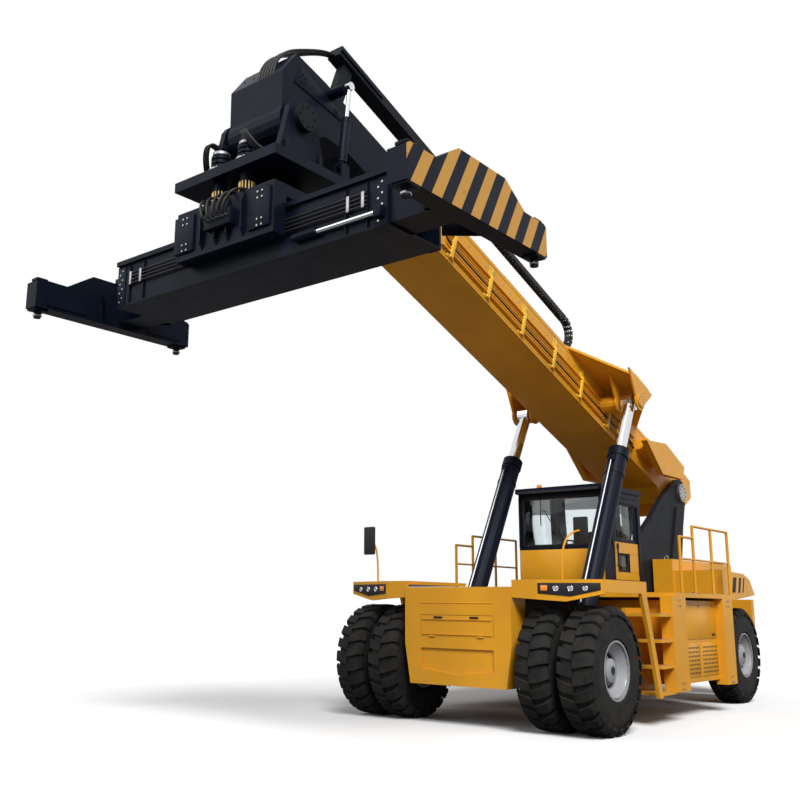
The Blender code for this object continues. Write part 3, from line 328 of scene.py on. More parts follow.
def make_finishes(colours, sizes):
    """Every finish of the machine, by its short name."""
    FINISHED.update({
        "amber": paint("amber_finish", colours.amber, 0.34, 1.5, 0.20, 0.06, 0.2),
        "navy": paint("navy_finish", colours.navy, 0.40, 1.0, 0.03, 0.0, 0.09),
        "graphite": paint("graphite_finish", colours.graphite, 0.52, 1.4, 0.15, 0.0, 0.1),
        "rubber": rubber(colours.rubber),
        "silver": paint("silver_finish", colours.silver, 0.34, 1.2, 0.20, 0.2),
        "chrome": metal("chrome_finish", (0.78, 0.79, 0.81), 0.10, 40.0, 0.01),
        "steel": metal("steel_finish", (0.42, 0.42, 0.43), 0.38, 60.0),
        "brass": metal("pinion_finish", (0.60, 0.42, 0.16), 0.34, 60.0),
        "plastic": plastic("plastic_finish", (0.016, 0.016, 0.018), 0.58),
        "hose": plastic("hose_finish", (0.012, 0.012, 0.013), 0.46),
        "clamp": paint("clamp_finish", colours.clamp, 0.38, 1.0, 0.05, 0.1),
        "clear": lens("lamp_clear", (0.34, 0.35, 0.36)),
        "lens": lens("lamp_amber", colours.lens),
        "stop": lens("lamp_red", colours.stop),
        "stripes": striped("striped_arm_finish", colours.stripe, colours.navy, sizes.stripe,
                           corner("left_arm", 1).x),
        "cloth": cloth("seat_cloth", (0.030, 0.030, 0.034)),
        "glass": glass(),
        "mirror": metal("mirror_face", (0.85, 0.87, 0.88), 0.06, 20.0, 0.0),
    })


# ------------------------------------------------------------------ shapes
class Shape:
    """A mesh built up from bmesh operators."""

    def __init__(self, space=None):
        self.bm = bmesh.new()
        self.space = space

    def block(self, low, high, bevel=0.0, turn=None):
        """A block between two corners, its edges bevelled."""
        low, high = Vector(low), Vector(high)
        size = Vector([abs(v) for v in high - low])
        place = Matrix.Translation((low + high) / 2)
        if turn is not None:
            place = place @ turn
        made = bmesh.ops.create_cube(self.bm, size=1.0, matrix=place @ Matrix.Diagonal((*size, 1)))
        if bevel:
            self.soften(made["verts"], bevel)
        return made["verts"]

    def soften(self, verts, width, segments=2):
        """Bevels every edge among these vertices."""
        edges = {edge for vert in verts for edge in vert.link_edges}
        bmesh.ops.bevel(self.bm, geom=list(edges), offset=width, offset_type='OFFSET', segments=segments,
                        profile=0.5, affect='EDGES', clamp_overlap=True, material=-1)

    def bar(self, start, end, radius, sides=16, tip=None):
        """A round bar between two points."""
        start, end = Vector(start), Vector(end)
        run = end - start
        place = Matrix.Translation((start + end) / 2) @ run.to_track_quat('Z', 'Y').to_matrix().to_4x4()
        made = bmesh.ops.create_cone(self.bm, cap_ends=True, cap_tris=False, segments=sides, radius1=radius,
                                     radius2=radius if tip is None else tip, depth=run.length, matrix=place)
        return made["verts"]

    def ring(self, centre, axis, radius, thick, sides=32, tube=8):
        """A round ring about an axis through its centre."""
        axis = Vector(axis).normalized()
        side = axis.orthogonal().normalized()
        place = Matrix.Translation(Vector(centre) + side * radius)
        turn = Matrix((side, axis, side.cross(axis))).transposed().to_4x4()
        made = bmesh.ops.create_circle(self.bm, cap_ends=False, segments=tube, radius=thick,
                                       matrix=place @ turn)
        edges = list({edge for vert in made["verts"] for edge in vert.link_edges})
        bmesh.ops.spin(self.bm, geom=made["verts"] + edges, cent=centre, axis=axis, dvec=(0, 0, 0),
                       angle=math.tau, steps=sides, use_merge=True, use_duplicate=False)

    def lathe(self, profile, centre, steps):
        """A closed (radius, along) outline turned about X."""
        verts = [self.bm.verts.new(centre + Vector((along, 0, radius))) for radius, along in profile]
        edges = [self.bm.edges.new((verts[i - 1], verts[i])) for i in range(len(verts))]
        bmesh.ops.spin(self.bm, geom=verts + edges, cent=centre, axis=(1, 0, 0), dvec=(0, 0, 0),
                       angle=math.tau, steps=steps, use_merge=True, use_duplicate=False)

    def sleeve(self, low, high, inner, outer, steps=32):
        """An open band about Z, so that a rod can run through it."""
        corners = ((inner, low), (outer, low), (outer, high), (inner, high))
        verts = [self.bm.verts.new((radius, 0, z)) for radius, z in corners]
        edges = [self.bm.edges.new((verts[i - 1], verts[i])) for i in range(4)]
        bmesh.ops.spin(self.bm, geom=verts + edges, cent=(0, 0, 0), axis=(0, 0, 1), dvec=(0, 0, 0),
                       angle=math.tau, steps=steps, use_merge=True, use_duplicate=False)

    def plate(self, axis, outline, low, high, bevel=0.0):
        """An outline pushed along an axis: (y, z) for X, (x, z) for Y, (x, y) for Z."""
        places = {'X': lambda a, b, h: (h, a, b), 'Y': lambda a, b, h: (a, h, b),
                  'Z': lambda a, b, h: (a, b, h)}[axis]
        face = self.bm.faces.new([self.bm.verts.new(places(a, b, low)) for a, b in outline])
        pushed = bmesh.ops.extrude_face_region(self.bm, geom=[face])
        verts = [item for item in pushed["geom"] if isinstance(item, bmesh.types.BMVert)]
        bmesh.ops.translate(self.bm, verts=verts, vec=places(0, 0, high - low))
        if bevel:
            self.soften(verts + list(face.verts), bevel)

    def dome(self, centre, radius, squash=1.0):
        """A ball, flattened along Z."""
        place = Matrix.Translation(centre) @ Matrix.Diagonal((1, 1, squash, 1))
        bmesh.ops.create_uvsphere(self.bm, u_segments=20, v_segments=10, radius=radius, matrix=place)

    def bolts(self, centre, axis, radius, count, size, length=0.02):
        """A ring of hexagon bolt heads."""
        axis = Vector(axis).normalized()
        side = axis.orthogonal().normalized()
        for i in range(count):
            turn = Matrix.Rotation(math.tau * i / count, 3, axis)
            foot = Vector(centre) + turn @ side * radius
            self.bar(foot, foot + axis * length, size, 6)

    def bolt(self, centre, axis, size, length):
        """One bolt head."""
        self.bolts(centre, axis, 0.0, 1, size, length)

    def finish(self, name, finish, body, slot, smooth=30.0, replaces=()):
        """The object, with its finish, riding on its body."""
        bmesh.ops.recalc_face_normals(self.bm, faces=self.bm.faces)
        if self.space is not None:
            bmesh.ops.transform(self.bm, matrix=self.space, verts=self.bm.verts)
        mesh = bpy.data.meshes.new(name)
        self.bm.to_mesh(mesh)
        self.bm.free()
        return settle(name, mesh, finish, body, smooth, replaces)


def settle(name, mesh, finish, body, smooth=30.0, replaces=()):
    """A finished piece from its mesh."""
    mesh.materials.clear()
    mesh.materials.append(FINISHED[finish])
    mesh.shade_smooth()
    mesh.set_sharp_from_angle(angle=math.radians(smooth))
    obj = bpy.data.objects.new(name, mesh)
    bpy.context.scene.collection.objects.link(obj)
    if replaces:
        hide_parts(*replaces)
    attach(obj, body)
    return obj


def hoses(name, routes, radius, finish, body, space=None):
    """Bent pipes or hoses along smooth routes, as one mesh."""
    curve = bpy.data.curves.new(name, 'CURVE')
    curve.dimensions = '3D'
    curve.bevel_depth = radius
    curve.bevel_resolution = 3
    curve.use_fill_caps = True
    for route in routes:
        spline = curve.splines.new('NURBS')
        spline.points.add(len(route) - 1)
        for point, place in zip(spline.points, route):
            place = Vector(place) if space is None else space @ Vector(place)
            point.co = (*place, 1.0)
        spline.use_endpoint_u = True
        spline.order_u = min(4, len(route))
        spline.resolution_u = 6
    carrier = bpy.data.objects.new(name + "_route", curve)
    mesh = bpy.data.meshes.new_from_object(carrier)
    bpy.data.objects.remove(carrier)
    bpy.data.curves.remove(curve)
    return settle(name, mesh, finish, body, 60.0)


# ------------------------------------------------------------------ wheels
def tyre_section(half, bead, crown):
    """Half-round tyre outline as (radius, along), from one bead over the tread to the other."""
    steps = 20
    points = [(bead, -half + 0.03)]
    for i in range(steps + 1):
        t = math.pi * i / steps
        along = -math.copysign(abs(math.cos(t)) ** 0.42, math.cos(t)) * half
        points.append((bead + 0.02 + (crown - bead - 0.02) * math.sin(t) ** 0.55 if 0 < i < steps
                       else bead + 0.02, along))
    points.append((bead, half - 0.03))
    return points


def tyre(node, sizes):
    """A tyre with two rows of slanted lugs that wrap over its shoulders."""
    low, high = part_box(node)
    centre = (Vector(low) + Vector(high)) / 2
    half, outer = (high[0] - low[0]) / 2, (high[2] - low[2]) / 2
    top = outer - 0.0005
    carcass = top - sizes.lug_depth
    bead = (corner("rear_left_rim", 1).z - corner("rear_left_rim", 0).z) / 2 + 0.006
    shape = Shape()
    bm = shape.bm
    shape.lathe(tyre_section(half - 0.006, bead, carcass), centre, 72)
    step = math.tau / sizes.lug_count
    bmesh.ops.translate(bm, verts=bm.verts, vec=-centre)
    for side in (1, -1):
        bar = lug(side, half - 0.003, carcass - 0.03, top)
        bar.transform(Matrix.Rotation(step / 2 if side > 0 else 0.0, 4, 'X'))
        for _ in range(sizes.lug_count):
            bar.transform(Matrix.Rotation(step, 4, 'X'))
            bm.from_mesh(bar)
        bpy.data.meshes.remove(bar)
    bmesh.ops.translate(bm, verts=bm.verts, vec=centre)
    shape.finish(node.replace("_tyre", "_tread"), "rubber", body_for(node), "tyre_rubber", 35.0, [node])


def cut_block(along_only, cuts):
    """A unit block in a mesh of its own, its edges (or only those along X) cut into pieces."""
    block = bmesh.new()
    bmesh.ops.create_cube(block, size=1.0)
    edges = [edge for edge in block.edges
             if not along_only or abs(edge.verts[0].co.x - edge.verts[1].co.x) > 0.5]
    bmesh.ops.subdivide_edges(block, edges=edges, cuts=cuts, use_grid_fill=True)
    return block


def lug(side, half, base, top):
    """One slanted tread bar about X, from near the middle of the tread down over the shoulder."""
    block = cut_block(True, 4)
    inner, slant, width = 0.004, 0.085, 0.132
    for vert in block.verts:
        run, across, up = vert.co.x + 0.5, vert.co.y, vert.co.z + 0.5
        shoulder = max(0.0, run - 0.72) / 0.28
        crest = top - 0.075 * shoulder ** 2
        radius = base - 0.05 * shoulder + up * (crest - base + 0.05 * shoulder)
        wide = width * (1.0 + 0.25 * run) * (1.0 - 0.16 * up)
        turn = slant * run ** 1.3 + across * wide / top
        x = side * (inner + run * (half - inner))
        vert.co = Vector((x, radius * math.sin(turn), radius * math.cos(turn)))
    mesh = bpy.data.meshes.new("lug")
    block.to_mesh(mesh)
    block.free()
    return mesh


def rim(node):
    """Bolts, slotted dish, hub cover and lock ring on a wheel's outer face; the dish's slots and the hub's
    centre bore are dark blocks of painted shade.
    """
    side = 1 if "left" in node else -1
    low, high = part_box(node)
    face_x = high[0] if side > 0 else low[0]
    front = node.startswith("front")
    disc = face_x - side * (0.26 if front else 0.16)
    centre = Vector((disc, (low[1] + high[1]) / 2, (low[2] + high[2]) / 2))
    outward = Vector((side, 0, 0))
    body = body_for(node)
    shape = Shape()
    shape.bolts(centre, outward, 0.235, 20, 0.017, 0.035)
    shape.ring(Vector((face_x - side * 0.012, centre.y, centre.z)), outward, 0.372, 0.011, 48)
    shape.ring(centre + outward * 0.004, outward, 0.345, 0.010, 48)
    dish = [(0.352, 0.030), (0.340, 0.050), (0.248, 0.128), (0.240, 0.150), (0.228, 0.150), (0.236, 0.120),
            (0.330, 0.040), (0.340, 0.022)]
    shape.lathe([(radius, -side * depth) for radius, depth in dish],
                Vector((face_x, centre.y, centre.z)), 48)
    hub = 0.20 if front else 0.13
    shape.bar(centre, centre + outward * 0.10, 0.205, 32, 0.185)
    shape.bar(centre + outward * 0.10, centre + outward * (hub - 0.02), 0.165, 32, 0.150)
    shape.bar(centre + outward * (hub - 0.02), centre + outward * hub, 0.150, 32, 0.110)
    shape.bolts(centre + outward * 0.10, outward, 0.178, 12, 0.010, 0.012)
    shape.finish(node + "_hub", "silver", body, "rim_silver")
    # The dish's slots are thin dark blocks in the black plastic finish: painted shade in the openings.
    hole_shade = Shape()
    slope = math.atan2(0.078, 0.092)
    for i in range(22):
        bmesh.ops.create_cube(hole_shade.bm, size=1.0, matrix=Matrix.Translation((face_x, centre.y, centre.z))
                              @ Matrix.Rotation(math.tau * i / 22, 4, 'X')
                              @ Matrix.Translation((-side * 0.089, 0, 0.294))
                              @ Matrix.Rotation(side * slope, 4, 'Y')
                              @ Matrix.Diagonal((0.008, 0.032, 0.080, 1)))
    # A dark disc at the hub's end: painted shade in its centre bore.
    hole_shade.bar(centre + outward * 0.11, centre + outward * (hub + 0.004), 0.055, 24)
    hole_shade.finish(node + "_holes", "plastic", body, "black_plastic")


# ------------------------------------------------------------------ body
def fender_lamps(side, name):
    """Dark lamp panel along a fender's slanted nose, with three round lamps and a bright edge."""
    inner, outer = at(side * 1.25, -0.595, 0), at(side * 2.09, -0.364, 0)
    run = (outer - inner).normalized()
    out = Vector((run.y, -run.x, 0))
    if out.y > 0:
        out = -out
    turn = Matrix((run, out, Vector((0, 0, 1)))).transposed().to_4x4()
    start = inner + Vector((0, 0, 1.868))
    length = (outer - inner).length
    space = Matrix.Translation(start) @ turn
    panel = Shape(space)
    panel.plate('Y', [(0.02, -0.075), (length * 0.52, -0.112), (length - 0.03, -0.030),
                      (length - 0.03, 0.060), (0.02, 0.060)], 0.0, 0.010, 0.003)
    panel.finish(name + "_lamp_panel", "plastic", "chassis", "black_plastic")
    rims, glass_faces = Shape(space), Shape(space)
    for i, radius in enumerate((0.034, 0.034, 0.030)):
        middle = Vector((length * (0.30 + 0.22 * i), 0.010, -0.012))
        rims.ring(middle, (0, 1, 0), radius, 0.006, 28)
        glass_faces.bar(middle - Vector((0, 0.004, 0)), middle + Vector((0, 0.006, 0)), radius, 24,
                        radius * 0.86)
    rims.finish(name + "_lamp_rims", "chrome", "chassis", "chrome_rod")
    glass_faces.finish(name + "_lamp_lenses", "clear", "chassis", "black_plastic")
    signal = Shape(space)
    signal.block((0.06, 0.008, -0.040), (0.15, 0.016, 0.030), 0.003)
    signal.finish(name + "_turn_lamp", "lens", "chassis", "black_plastic")


def nose_trim():
    """Finger slots and ribs of the nose hatch, and a ledge over it; the finger slots are dark blocks of
    painted shade.
    """
    low, high = corner("nose_hatch", 0), corner("nose_hatch", 1)
    hatch = Shape()
    # Finger slots: dark blocks in the black plastic finish, painted shade in the recesses.
    for x in (-0.30, 0.30):
        hatch.block((x - 0.07, low.y + 0.003, high.z - 0.040),
                    (x + 0.07, low.y + 0.012, high.z - 0.014), 0.003)
    hatch.finish("hatch_finger_slot_shade", "plastic", "hatch", "black_plastic")
    border = Shape()
    for a, b in (((low.x + 0.02, low.z + 0.035), (high.x - 0.02, low.z + 0.045)),
                 ((low.x + 0.02, high.z - 0.062), (high.x - 0.02, high.z - 0.052))):
        border.block((a[0], low.y + 0.004, a[1]), (b[0], low.y + 0.0145, b[1]), 0.003)
    border.finish("hatch_ribs", "amber", "hatch", "amber_paint")
    front = corner("nose_box", 0).y
    trim = Shape()
    trim.block((-0.62, front - 0.006, 1.655), (0.62, front + 0.004, 1.667), 0.002)
    trim.finish("nose_trim", "amber", "chassis", "amber_paint")


def tread_plate(name, low, high, height):
    """A raised lozenge pattern over a deck."""
    plate = Shape()
    pitch = 0.075
    columns, rows = int((high[0] - low[0]) / pitch), int((high[1] - low[1]) / pitch)
    for i in range(columns):
        for j in range(rows):
            middle = Vector((low[0] + (i + 0.5) * pitch, low[1] + (j + 0.5) * pitch, height))
            turn = Matrix.Rotation(math.radians(45 if (i + j) % 2 else -45), 4, 'Z')
            made = bmesh.ops.create_cube(plate.bm, size=1.0, matrix=Matrix.Translation(middle) @ turn
                                         @ Matrix.Diagonal((0.046, 0.010, 0.005, 1)))["verts"]
            lift = [v for v in made if v.co.z > height]
            bmesh.ops.scale(plate.bm, verts=lift, vec=(0.75, 0.75, 1.0), space=Matrix.Translation(-middle))
    plate.block((low[0], low[1], height - 0.003), (high[0], high[1], height + 0.0005))
    plate.finish(name, "graphite", "chassis", "graphite_paint")


def side_trim(side, name):
    """Locker doors, vents whose openings are dark discs of painted shade, handles, filler and step treads on
    one side box.
    """
    outer = 1.96
    face = side * outer
    amber, dark, steel = Shape(), Shape(), Shape()
    out = side * 0.008

    def panel(shape, y0, y1, z0, z1, thick=0.008, bevel=0.003):
        a, b = sorted((face - side * 0.002, face + side * thick))
        p, q = at(a, y0, z0), at(b, y1, z1)
        shape.block(p, q, bevel)

    panel(amber, 2.46, 3.92, 1.16, 1.66)
    panel(amber, 2.46, 3.16, 0.60, 1.10)
    panel(amber, 3.22, 3.92, 0.60, 1.10)
    # Vent openings: dark discs in the black plastic finish on the locker doors, painted shade where the
    # box's dark inside would show.
    for i in range(24):
        for j in range(7):
            y, z = 2.53 + i * 0.058, 0.66 + j * 0.062
            if abs(y - 3.19) < 0.045:
                continue
            foot = at(face + out - side * 0.001, y, z)
            dark.bar(foot, foot + Vector((side * 0.0025, 0, 0)), 0.016, 10)
    for y, z in ((2.62, 1.20), (3.76, 1.20)):
        panel(dark, y - 0.05, y + 0.05, z, z + 0.035, 0.020, 0.004)
    for y in (2.60, 3.20, 3.78):
        handle_x = face + side * 0.012
        steel.bar(at(handle_x, y - 0.05, 1.655), at(handle_x, y + 0.05, 1.655), 0.010, 10)
    top = at(side * 1.55, 4.20, 1.85)
    steel.bar(top, top + Vector((0, 0, 0.035)), 0.055, 20)
    for z in (0.46, 0.82, 1.18, 1.54):
        for i in range(6):
            x = side * (1.62 + i * 0.08)
            steel.bar(at(x, 1.47, z), at(x, 1.92, z), 0.006, 6)
    for y in (2.14, 4.18):
        for z in (0.52, 1.70):
            steel.bolts(at(side * 2.08, y, z), (side, 0, 0), 0.06, 4, 0.012, 0.012)
    amber.finish(name + "_side_panels", "amber", "chassis", "amber_paint")
    dark.finish(name + "_side_vents", "plastic", "chassis", "black_plastic")
    steel.finish(name + "_side_fittings", "steel", "chassis", "graphite_paint")
    lo, hi = sorted((side * 0.81, side * 2.06))
    a, b = at(lo, 2.06, 0), at(hi, 4.52, 0)
    tread_plate(name + "_walkway", a, b, 1.852)


def hood_trim():
    """Louvres, grille and lifting eyes of the hood, and the lamps on its rear face."""
    low, high = corner("engine_hood", 0), corner("engine_hood", 1)
    dark, steel = Shape(), Shape()
    for i in range(14):
        y = low.y + 2.20 + i * 0.042
        dark.block((-0.42, y, high.z - 0.001), (0.42, y + 0.022, high.z + 0.008), 0.002)
    tilt = Matrix.Rotation(math.radians(28), 4, 'X')
    for i in range(11):
        z = 2.36 - i * 0.044
        dark.block((-0.86, high.y - 0.006, z), (0.86, high.y + 0.010, z + 0.016), 0.002, tilt)
    for side in (1, -1):
        face = side * (high.x + 0.001)
        for i in range(9):
            y = low.y + 1.82 + i * 0.10
            a, b = sorted((face - side * 0.004, face + side * 0.010))
            dark.block((a, y, 2.02), (b, y + 0.055, 2.36), 0.004)
        steel.ring((side * 0.80, low.y + 0.30, high.z + 0.035), (0, 1, 0), 0.035, 0.009, 24)
        steel.ring((side * 0.80, high.y - 0.25, high.z + 0.035), (0, 1, 0), 0.035, 0.009, 24)
    dark.finish("hood_louvres", "plastic", "chassis", "black_plastic")
    steel.finish("hood_lifting_eyes", "steel", "chassis", "graphite_paint")
    lamps, cases = Shape(), Shape()
    for x in (-0.74, 0.74):
        cases.block((x - 0.13, high.y - 0.004, 2.42), (x + 0.13, high.y + 0.020, 2.52), 0.004)
        lamps.block((x - 0.11, high.y + 0.016, 2.435), (x + 0.11, high.y + 0.026, 2.505), 0.004)
    cases.finish("rear_lamp_cases", "plastic", "chassis", "black_plastic")
    lamps.finish("rear_lamps", "stop", "chassis", "black_plastic")


def rear_panel(side, name):
    """Plain slanted bars on the rear mudguard's side."""
    face = side * 1.86
    a, b = sorted((face - side * 0.002, face + side * 0.003))
    bars = Shape()
    for start, width in ((5.10, 0.16), (5.40, 0.10), (5.62, 0.05)):
        slant = 0.10
        outline = [(start, 1.90), (start + width, 1.90),
                   (start + width + slant, 2.16), (start + slant, 2.16)]
        bars.plate('X', [(y + AXLE_Y, z) for y, z in outline], a, b)
    bars.finish(name + "_rear_bars", "navy", "chassis", "navy_paint")


# ------------------------------------------------------------------ cab
def window(panes, seals, axis, plane, low, high, pane):
    """A pane with a rubber seal round it; axis 0 faces sideways and 1 faces along Y."""
    other = 1 - axis

    def corner_at(depth, along, z):
        place = [0.0, 0.0, z]
        place[axis], place[other] = plane + depth, along
        return place

    panes.block(corner_at(-pane / 2, low[0], low[1]), corner_at(pane / 2, high[0], high[1]), 0.0015)
    edge, deep = 0.028, 0.018
    for a, b in ((low, (high[0], low[1] + edge)), ((low[0], high[1] - edge), high),
                 (low, (low[0] + edge, high[1])), ((high[0] - edge, low[1]), high)):
        seals.block(corner_at(-deep, *a), corner_at(deep, *b), 0.004)


def cab_glass(sizes):
    """Panes and seals of the cab's fixed windows and of its door."""
    half = CAB_SIDE - 0.03
    panes, seals = Shape(), Shape()
    window(panes, seals, 1, AXLE_Y + 2.53, (-0.72, 2.62), (0.72, 3.44), sizes.pane)
    window(panes, seals, 1, AXLE_Y + 3.89, (-0.68, 2.72), (0.68, 3.42), sizes.pane)
    window(panes, seals, 0, -half, (AXLE_Y + 2.66, 2.62), (AXLE_Y + 3.70, 3.42), sizes.pane)
    window(panes, seals, 0, half, (AXLE_Y + 2.62, 2.62), (AXLE_Y + 2.80, 3.42), sizes.pane)
    panes.finish("cab_windows", "glass", "chassis", "navy_paint")
    seals.finish("cab_window_seals", "plastic", "chassis", "black_plastic")
    panes, seals = Shape(), Shape()
    window(panes, seals, 0, half, (AXLE_Y + 2.94, 2.72), (AXLE_Y + 3.68, 3.34), sizes.pane)
    window(panes, seals, 0, half, (AXLE_Y + 2.96, 2.20), (AXLE_Y + 3.42, 2.50), sizes.pane)
    panes.finish("door_windows", "glass", "door", "navy_paint")
    seals.finish("door_window_seals", "plastic", "door", "black_plastic")


def cab_trim():
    """Front panel and frame, wiper, visor, beacon, and the door's panel and handle."""
    front = CAB_LOW.y
    panel = Shape()
    panel.block((-0.77, front - 0.016, 2.02), (0.77, front + 0.004, 2.56), 0.008)
    panel.finish("cab_front_panel", "amber", "chassis", "amber_paint")
    lower = Shape()
    edge = CAB_SIDE
    for y0, y1, z0, z1 in ((2.87, 3.76, 2.07, 2.195), (2.87, 3.76, 2.505, 2.68), (2.87, 2.955, 2.19, 2.51),
                           (3.425, 3.76, 2.19, 2.51)):
        lower.block((edge - 0.003, AXLE_Y + y0, z0), (edge + 0.004, AXLE_Y + y1, z1))
    lower.finish("door_lower_panel", "amber", "door", "amber_paint")
    handle = Shape()
    handle.bar((edge + 0.03, AXLE_Y + 2.92, 2.30), (edge + 0.03, AXLE_Y + 2.92, 2.62), 0.011, 12)
    for z in (2.30, 2.62):
        handle.bar((edge, AXLE_Y + 2.92, z), (edge + 0.03, AXLE_Y + 2.92, z), 0.009, 10)
    handle.block((edge + 0.004, AXLE_Y + 2.93, 2.56), (edge + 0.024, AXLE_Y + 2.98, 2.66), 0.004)
    handle.finish("door_handle", "plastic", "door", "black_plastic")
    dark = Shape()
    dark.bar((0.05, front - 0.025, 2.66), (0.05, front - 0.010, 2.66), 0.022, 16)
    dark.bar((0.05, front - 0.025, 2.66), (-0.28, front - 0.020, 3.22), 0.008, 8)
    dark.block((-0.36, front - 0.022, 2.96), (-0.345, front - 0.008, 3.40), 0.002)
    dark.bar((-0.28, front - 0.020, 3.22), (-0.35, front - 0.016, 3.20), 0.006, 8)
    dark.block((-0.76, front - 0.115, 3.50), (0.76, front - 0.060, 3.545), 0.008)
    dark.block((-0.62, front + 0.20, CAB_HIGH.z), (-0.44, front + 0.38, CAB_HIGH.z + 0.025), 0.006)
    dark.finish("cab_wiper_and_lamp_cases", "plastic", "chassis", "black_plastic")
    beacon = Shape()
    foot = Vector((-0.53, front + 0.29, CAB_HIGH.z + 0.025))
    beacon.bar(foot, foot + Vector((0, 0, 0.055)), 0.048, 24, 0.043)
    beacon.dome(foot + Vector((0, 0, 0.055)), 0.043, 0.6)
    beacon.finish("cab_beacon", "lens", "chassis", "black_plastic")
    edges = Shape()
    for x in (-0.765, 0.765):
        edges.bar((x, front - 0.004, 2.60), (x, front - 0.004, 3.46), 0.016, 12)
    edges.block((-0.765, front - 0.012, 3.455), (0.765, front + 0.006, 3.49), 0.004)
    edges.finish("cab_front_frame", "navy", "chassis", "navy_paint")


def seat_piece():
    """Sprung seat with bolsters, back and headrest in cloth, on a plastic pan."""
    low, high = corner("seat", 0), corner("seat", 1)
    middle = (low.x + high.x) / 2
    shape = Shape()
    front = low.y

    def cushion(a, b, turn=None, crown=0.035):
        block = cut_block(False, 3)
        for vert in block.verts:
            if vert.co.z > 0:
                vert.co.z += (1 - (2 * vert.co.x) ** 2) * crown * 0.6 / (b[2] - a[2])
        bmesh.ops.smooth_vert(block, verts=block.verts, factor=0.35, use_axis_x=True, use_axis_y=True,
                              use_axis_z=True)
        size = Vector(b) - Vector(a)
        place = Matrix.Translation((Vector(a) + Vector(b)) / 2) @ (turn or Matrix.Identity(4))
        mesh = bpy.data.meshes.new("cushion")
        bmesh.ops.transform(block, matrix=place @ Matrix.Diagonal((*size, 1)), verts=block.verts)
        block.to_mesh(mesh)
        block.free()
        shape.bm.from_mesh(mesh)
        bpy.data.meshes.remove(mesh)

    cushion((middle - 0.24, front + 0.02, 2.36), (middle + 0.24, front + 0.50, 2.48))
    lean = Matrix.Rotation(math.radians(-11), 4, 'X')
    cushion((middle - 0.22, front + 0.44, 2.50), (middle + 0.22, front + 0.54, 3.00), lean)
    cushion((middle - 0.13, front + 0.535, 3.00), (middle + 0.13, front + 0.61, 3.15), lean, 0.015)
    for x in (-0.20, 0.20):
        shape.bar((middle + x, front + 0.06, 2.47), (middle + x, front + 0.46, 2.49), 0.045, 16)
    seat = shape.finish("driver_seat", "cloth", "chassis", "seat_fabric", 60.0, ["seat"])
    pan = Shape()
    pan.block((middle - 0.23, front + 0.04, low.z + 0.05), (middle + 0.23, front + 0.46, 2.34), 0.03)
    pan.block((middle - 0.19, front + 0.06, low.z), (middle + 0.19, front + 0.44, low.z + 0.06), 0.01)
    for x in (-0.235, 0.235):
        pan.bar((middle + x, front + 0.42, 2.60), (middle + x, front + 0.12, 2.62), 0.022, 12)
    pan.finish("driver_seat_pan", "plastic", "chassis", "black_plastic")


def steering_wheel():
    """Steering wheel with three spokes on its column, the console, and a display."""
    foot, head = at(0, 2.74, 2.30), at(0, 2.93, 2.66)
    axis = (head - foot).normalized()
    shape = Shape()
    shape.ring(head, axis, 0.185, 0.014, 40, 10)
    for i in range(3):
        turn = Matrix.Rotation(math.tau * i / 3, 3, axis)
        shape.bar(head, head + turn @ axis.orthogonal().normalized() * 0.185, 0.010, 8)
    shape.bar(head - axis * 0.03, head + axis * 0.018, 0.045, 24)
    low = corner("console", 0)
    top = 2.56
    shape.bar(foot - axis * 0.1, head, 0.032, 16)
    shape.block((-0.45, low.y, low.z), (0.45, AXLE_Y + 2.84, top - 0.02), 0.03)
    shape.block((0.16, AXLE_Y + 2.66, top - 0.03), (0.40, AXLE_Y + 2.70, top + 0.15), 0.012)
    shape.finish("driver_console", "plastic", "chassis", "black_plastic", 30.0, ["console"])
    screen = Shape()
    screen.block((0.18, AXLE_Y + 2.698, top), (0.38, AXLE_Y + 2.703, top + 0.13), 0.002)
    screen.finish("console_display", "glass", "chassis", "black_plastic")


def mirror_on_arm(name, foot, head, width, height):
    """A mirror in its case on a bent arm."""
    foot, head = Vector(foot), Vector(head)
    hoses(name + "_arm", [(foot, foot + Vector((0, -0.01, (head.z - foot.z) * 0.5)),
                           Vector((foot.x, foot.y, head.z - 0.02)), head)], 0.014, "amber",
          "chassis")
    case, face = Shape(), Shape()
    case.block(head + Vector((-width / 2, -0.035, -height / 2)),
               head + Vector((width / 2, 0.015, height / 2)), 0.018)
    face.block(head + Vector((-width / 2 + 0.015, 0.010, -height / 2 + 0.015)),
               head + Vector((width / 2 - 0.015, 0.018, height / 2 - 0.015)), 0.003)
    case.finish(name + "_case", "plastic", "chassis", "black_plastic")
    face.finish(name + "_face", "mirror", "chassis", "black_plastic")


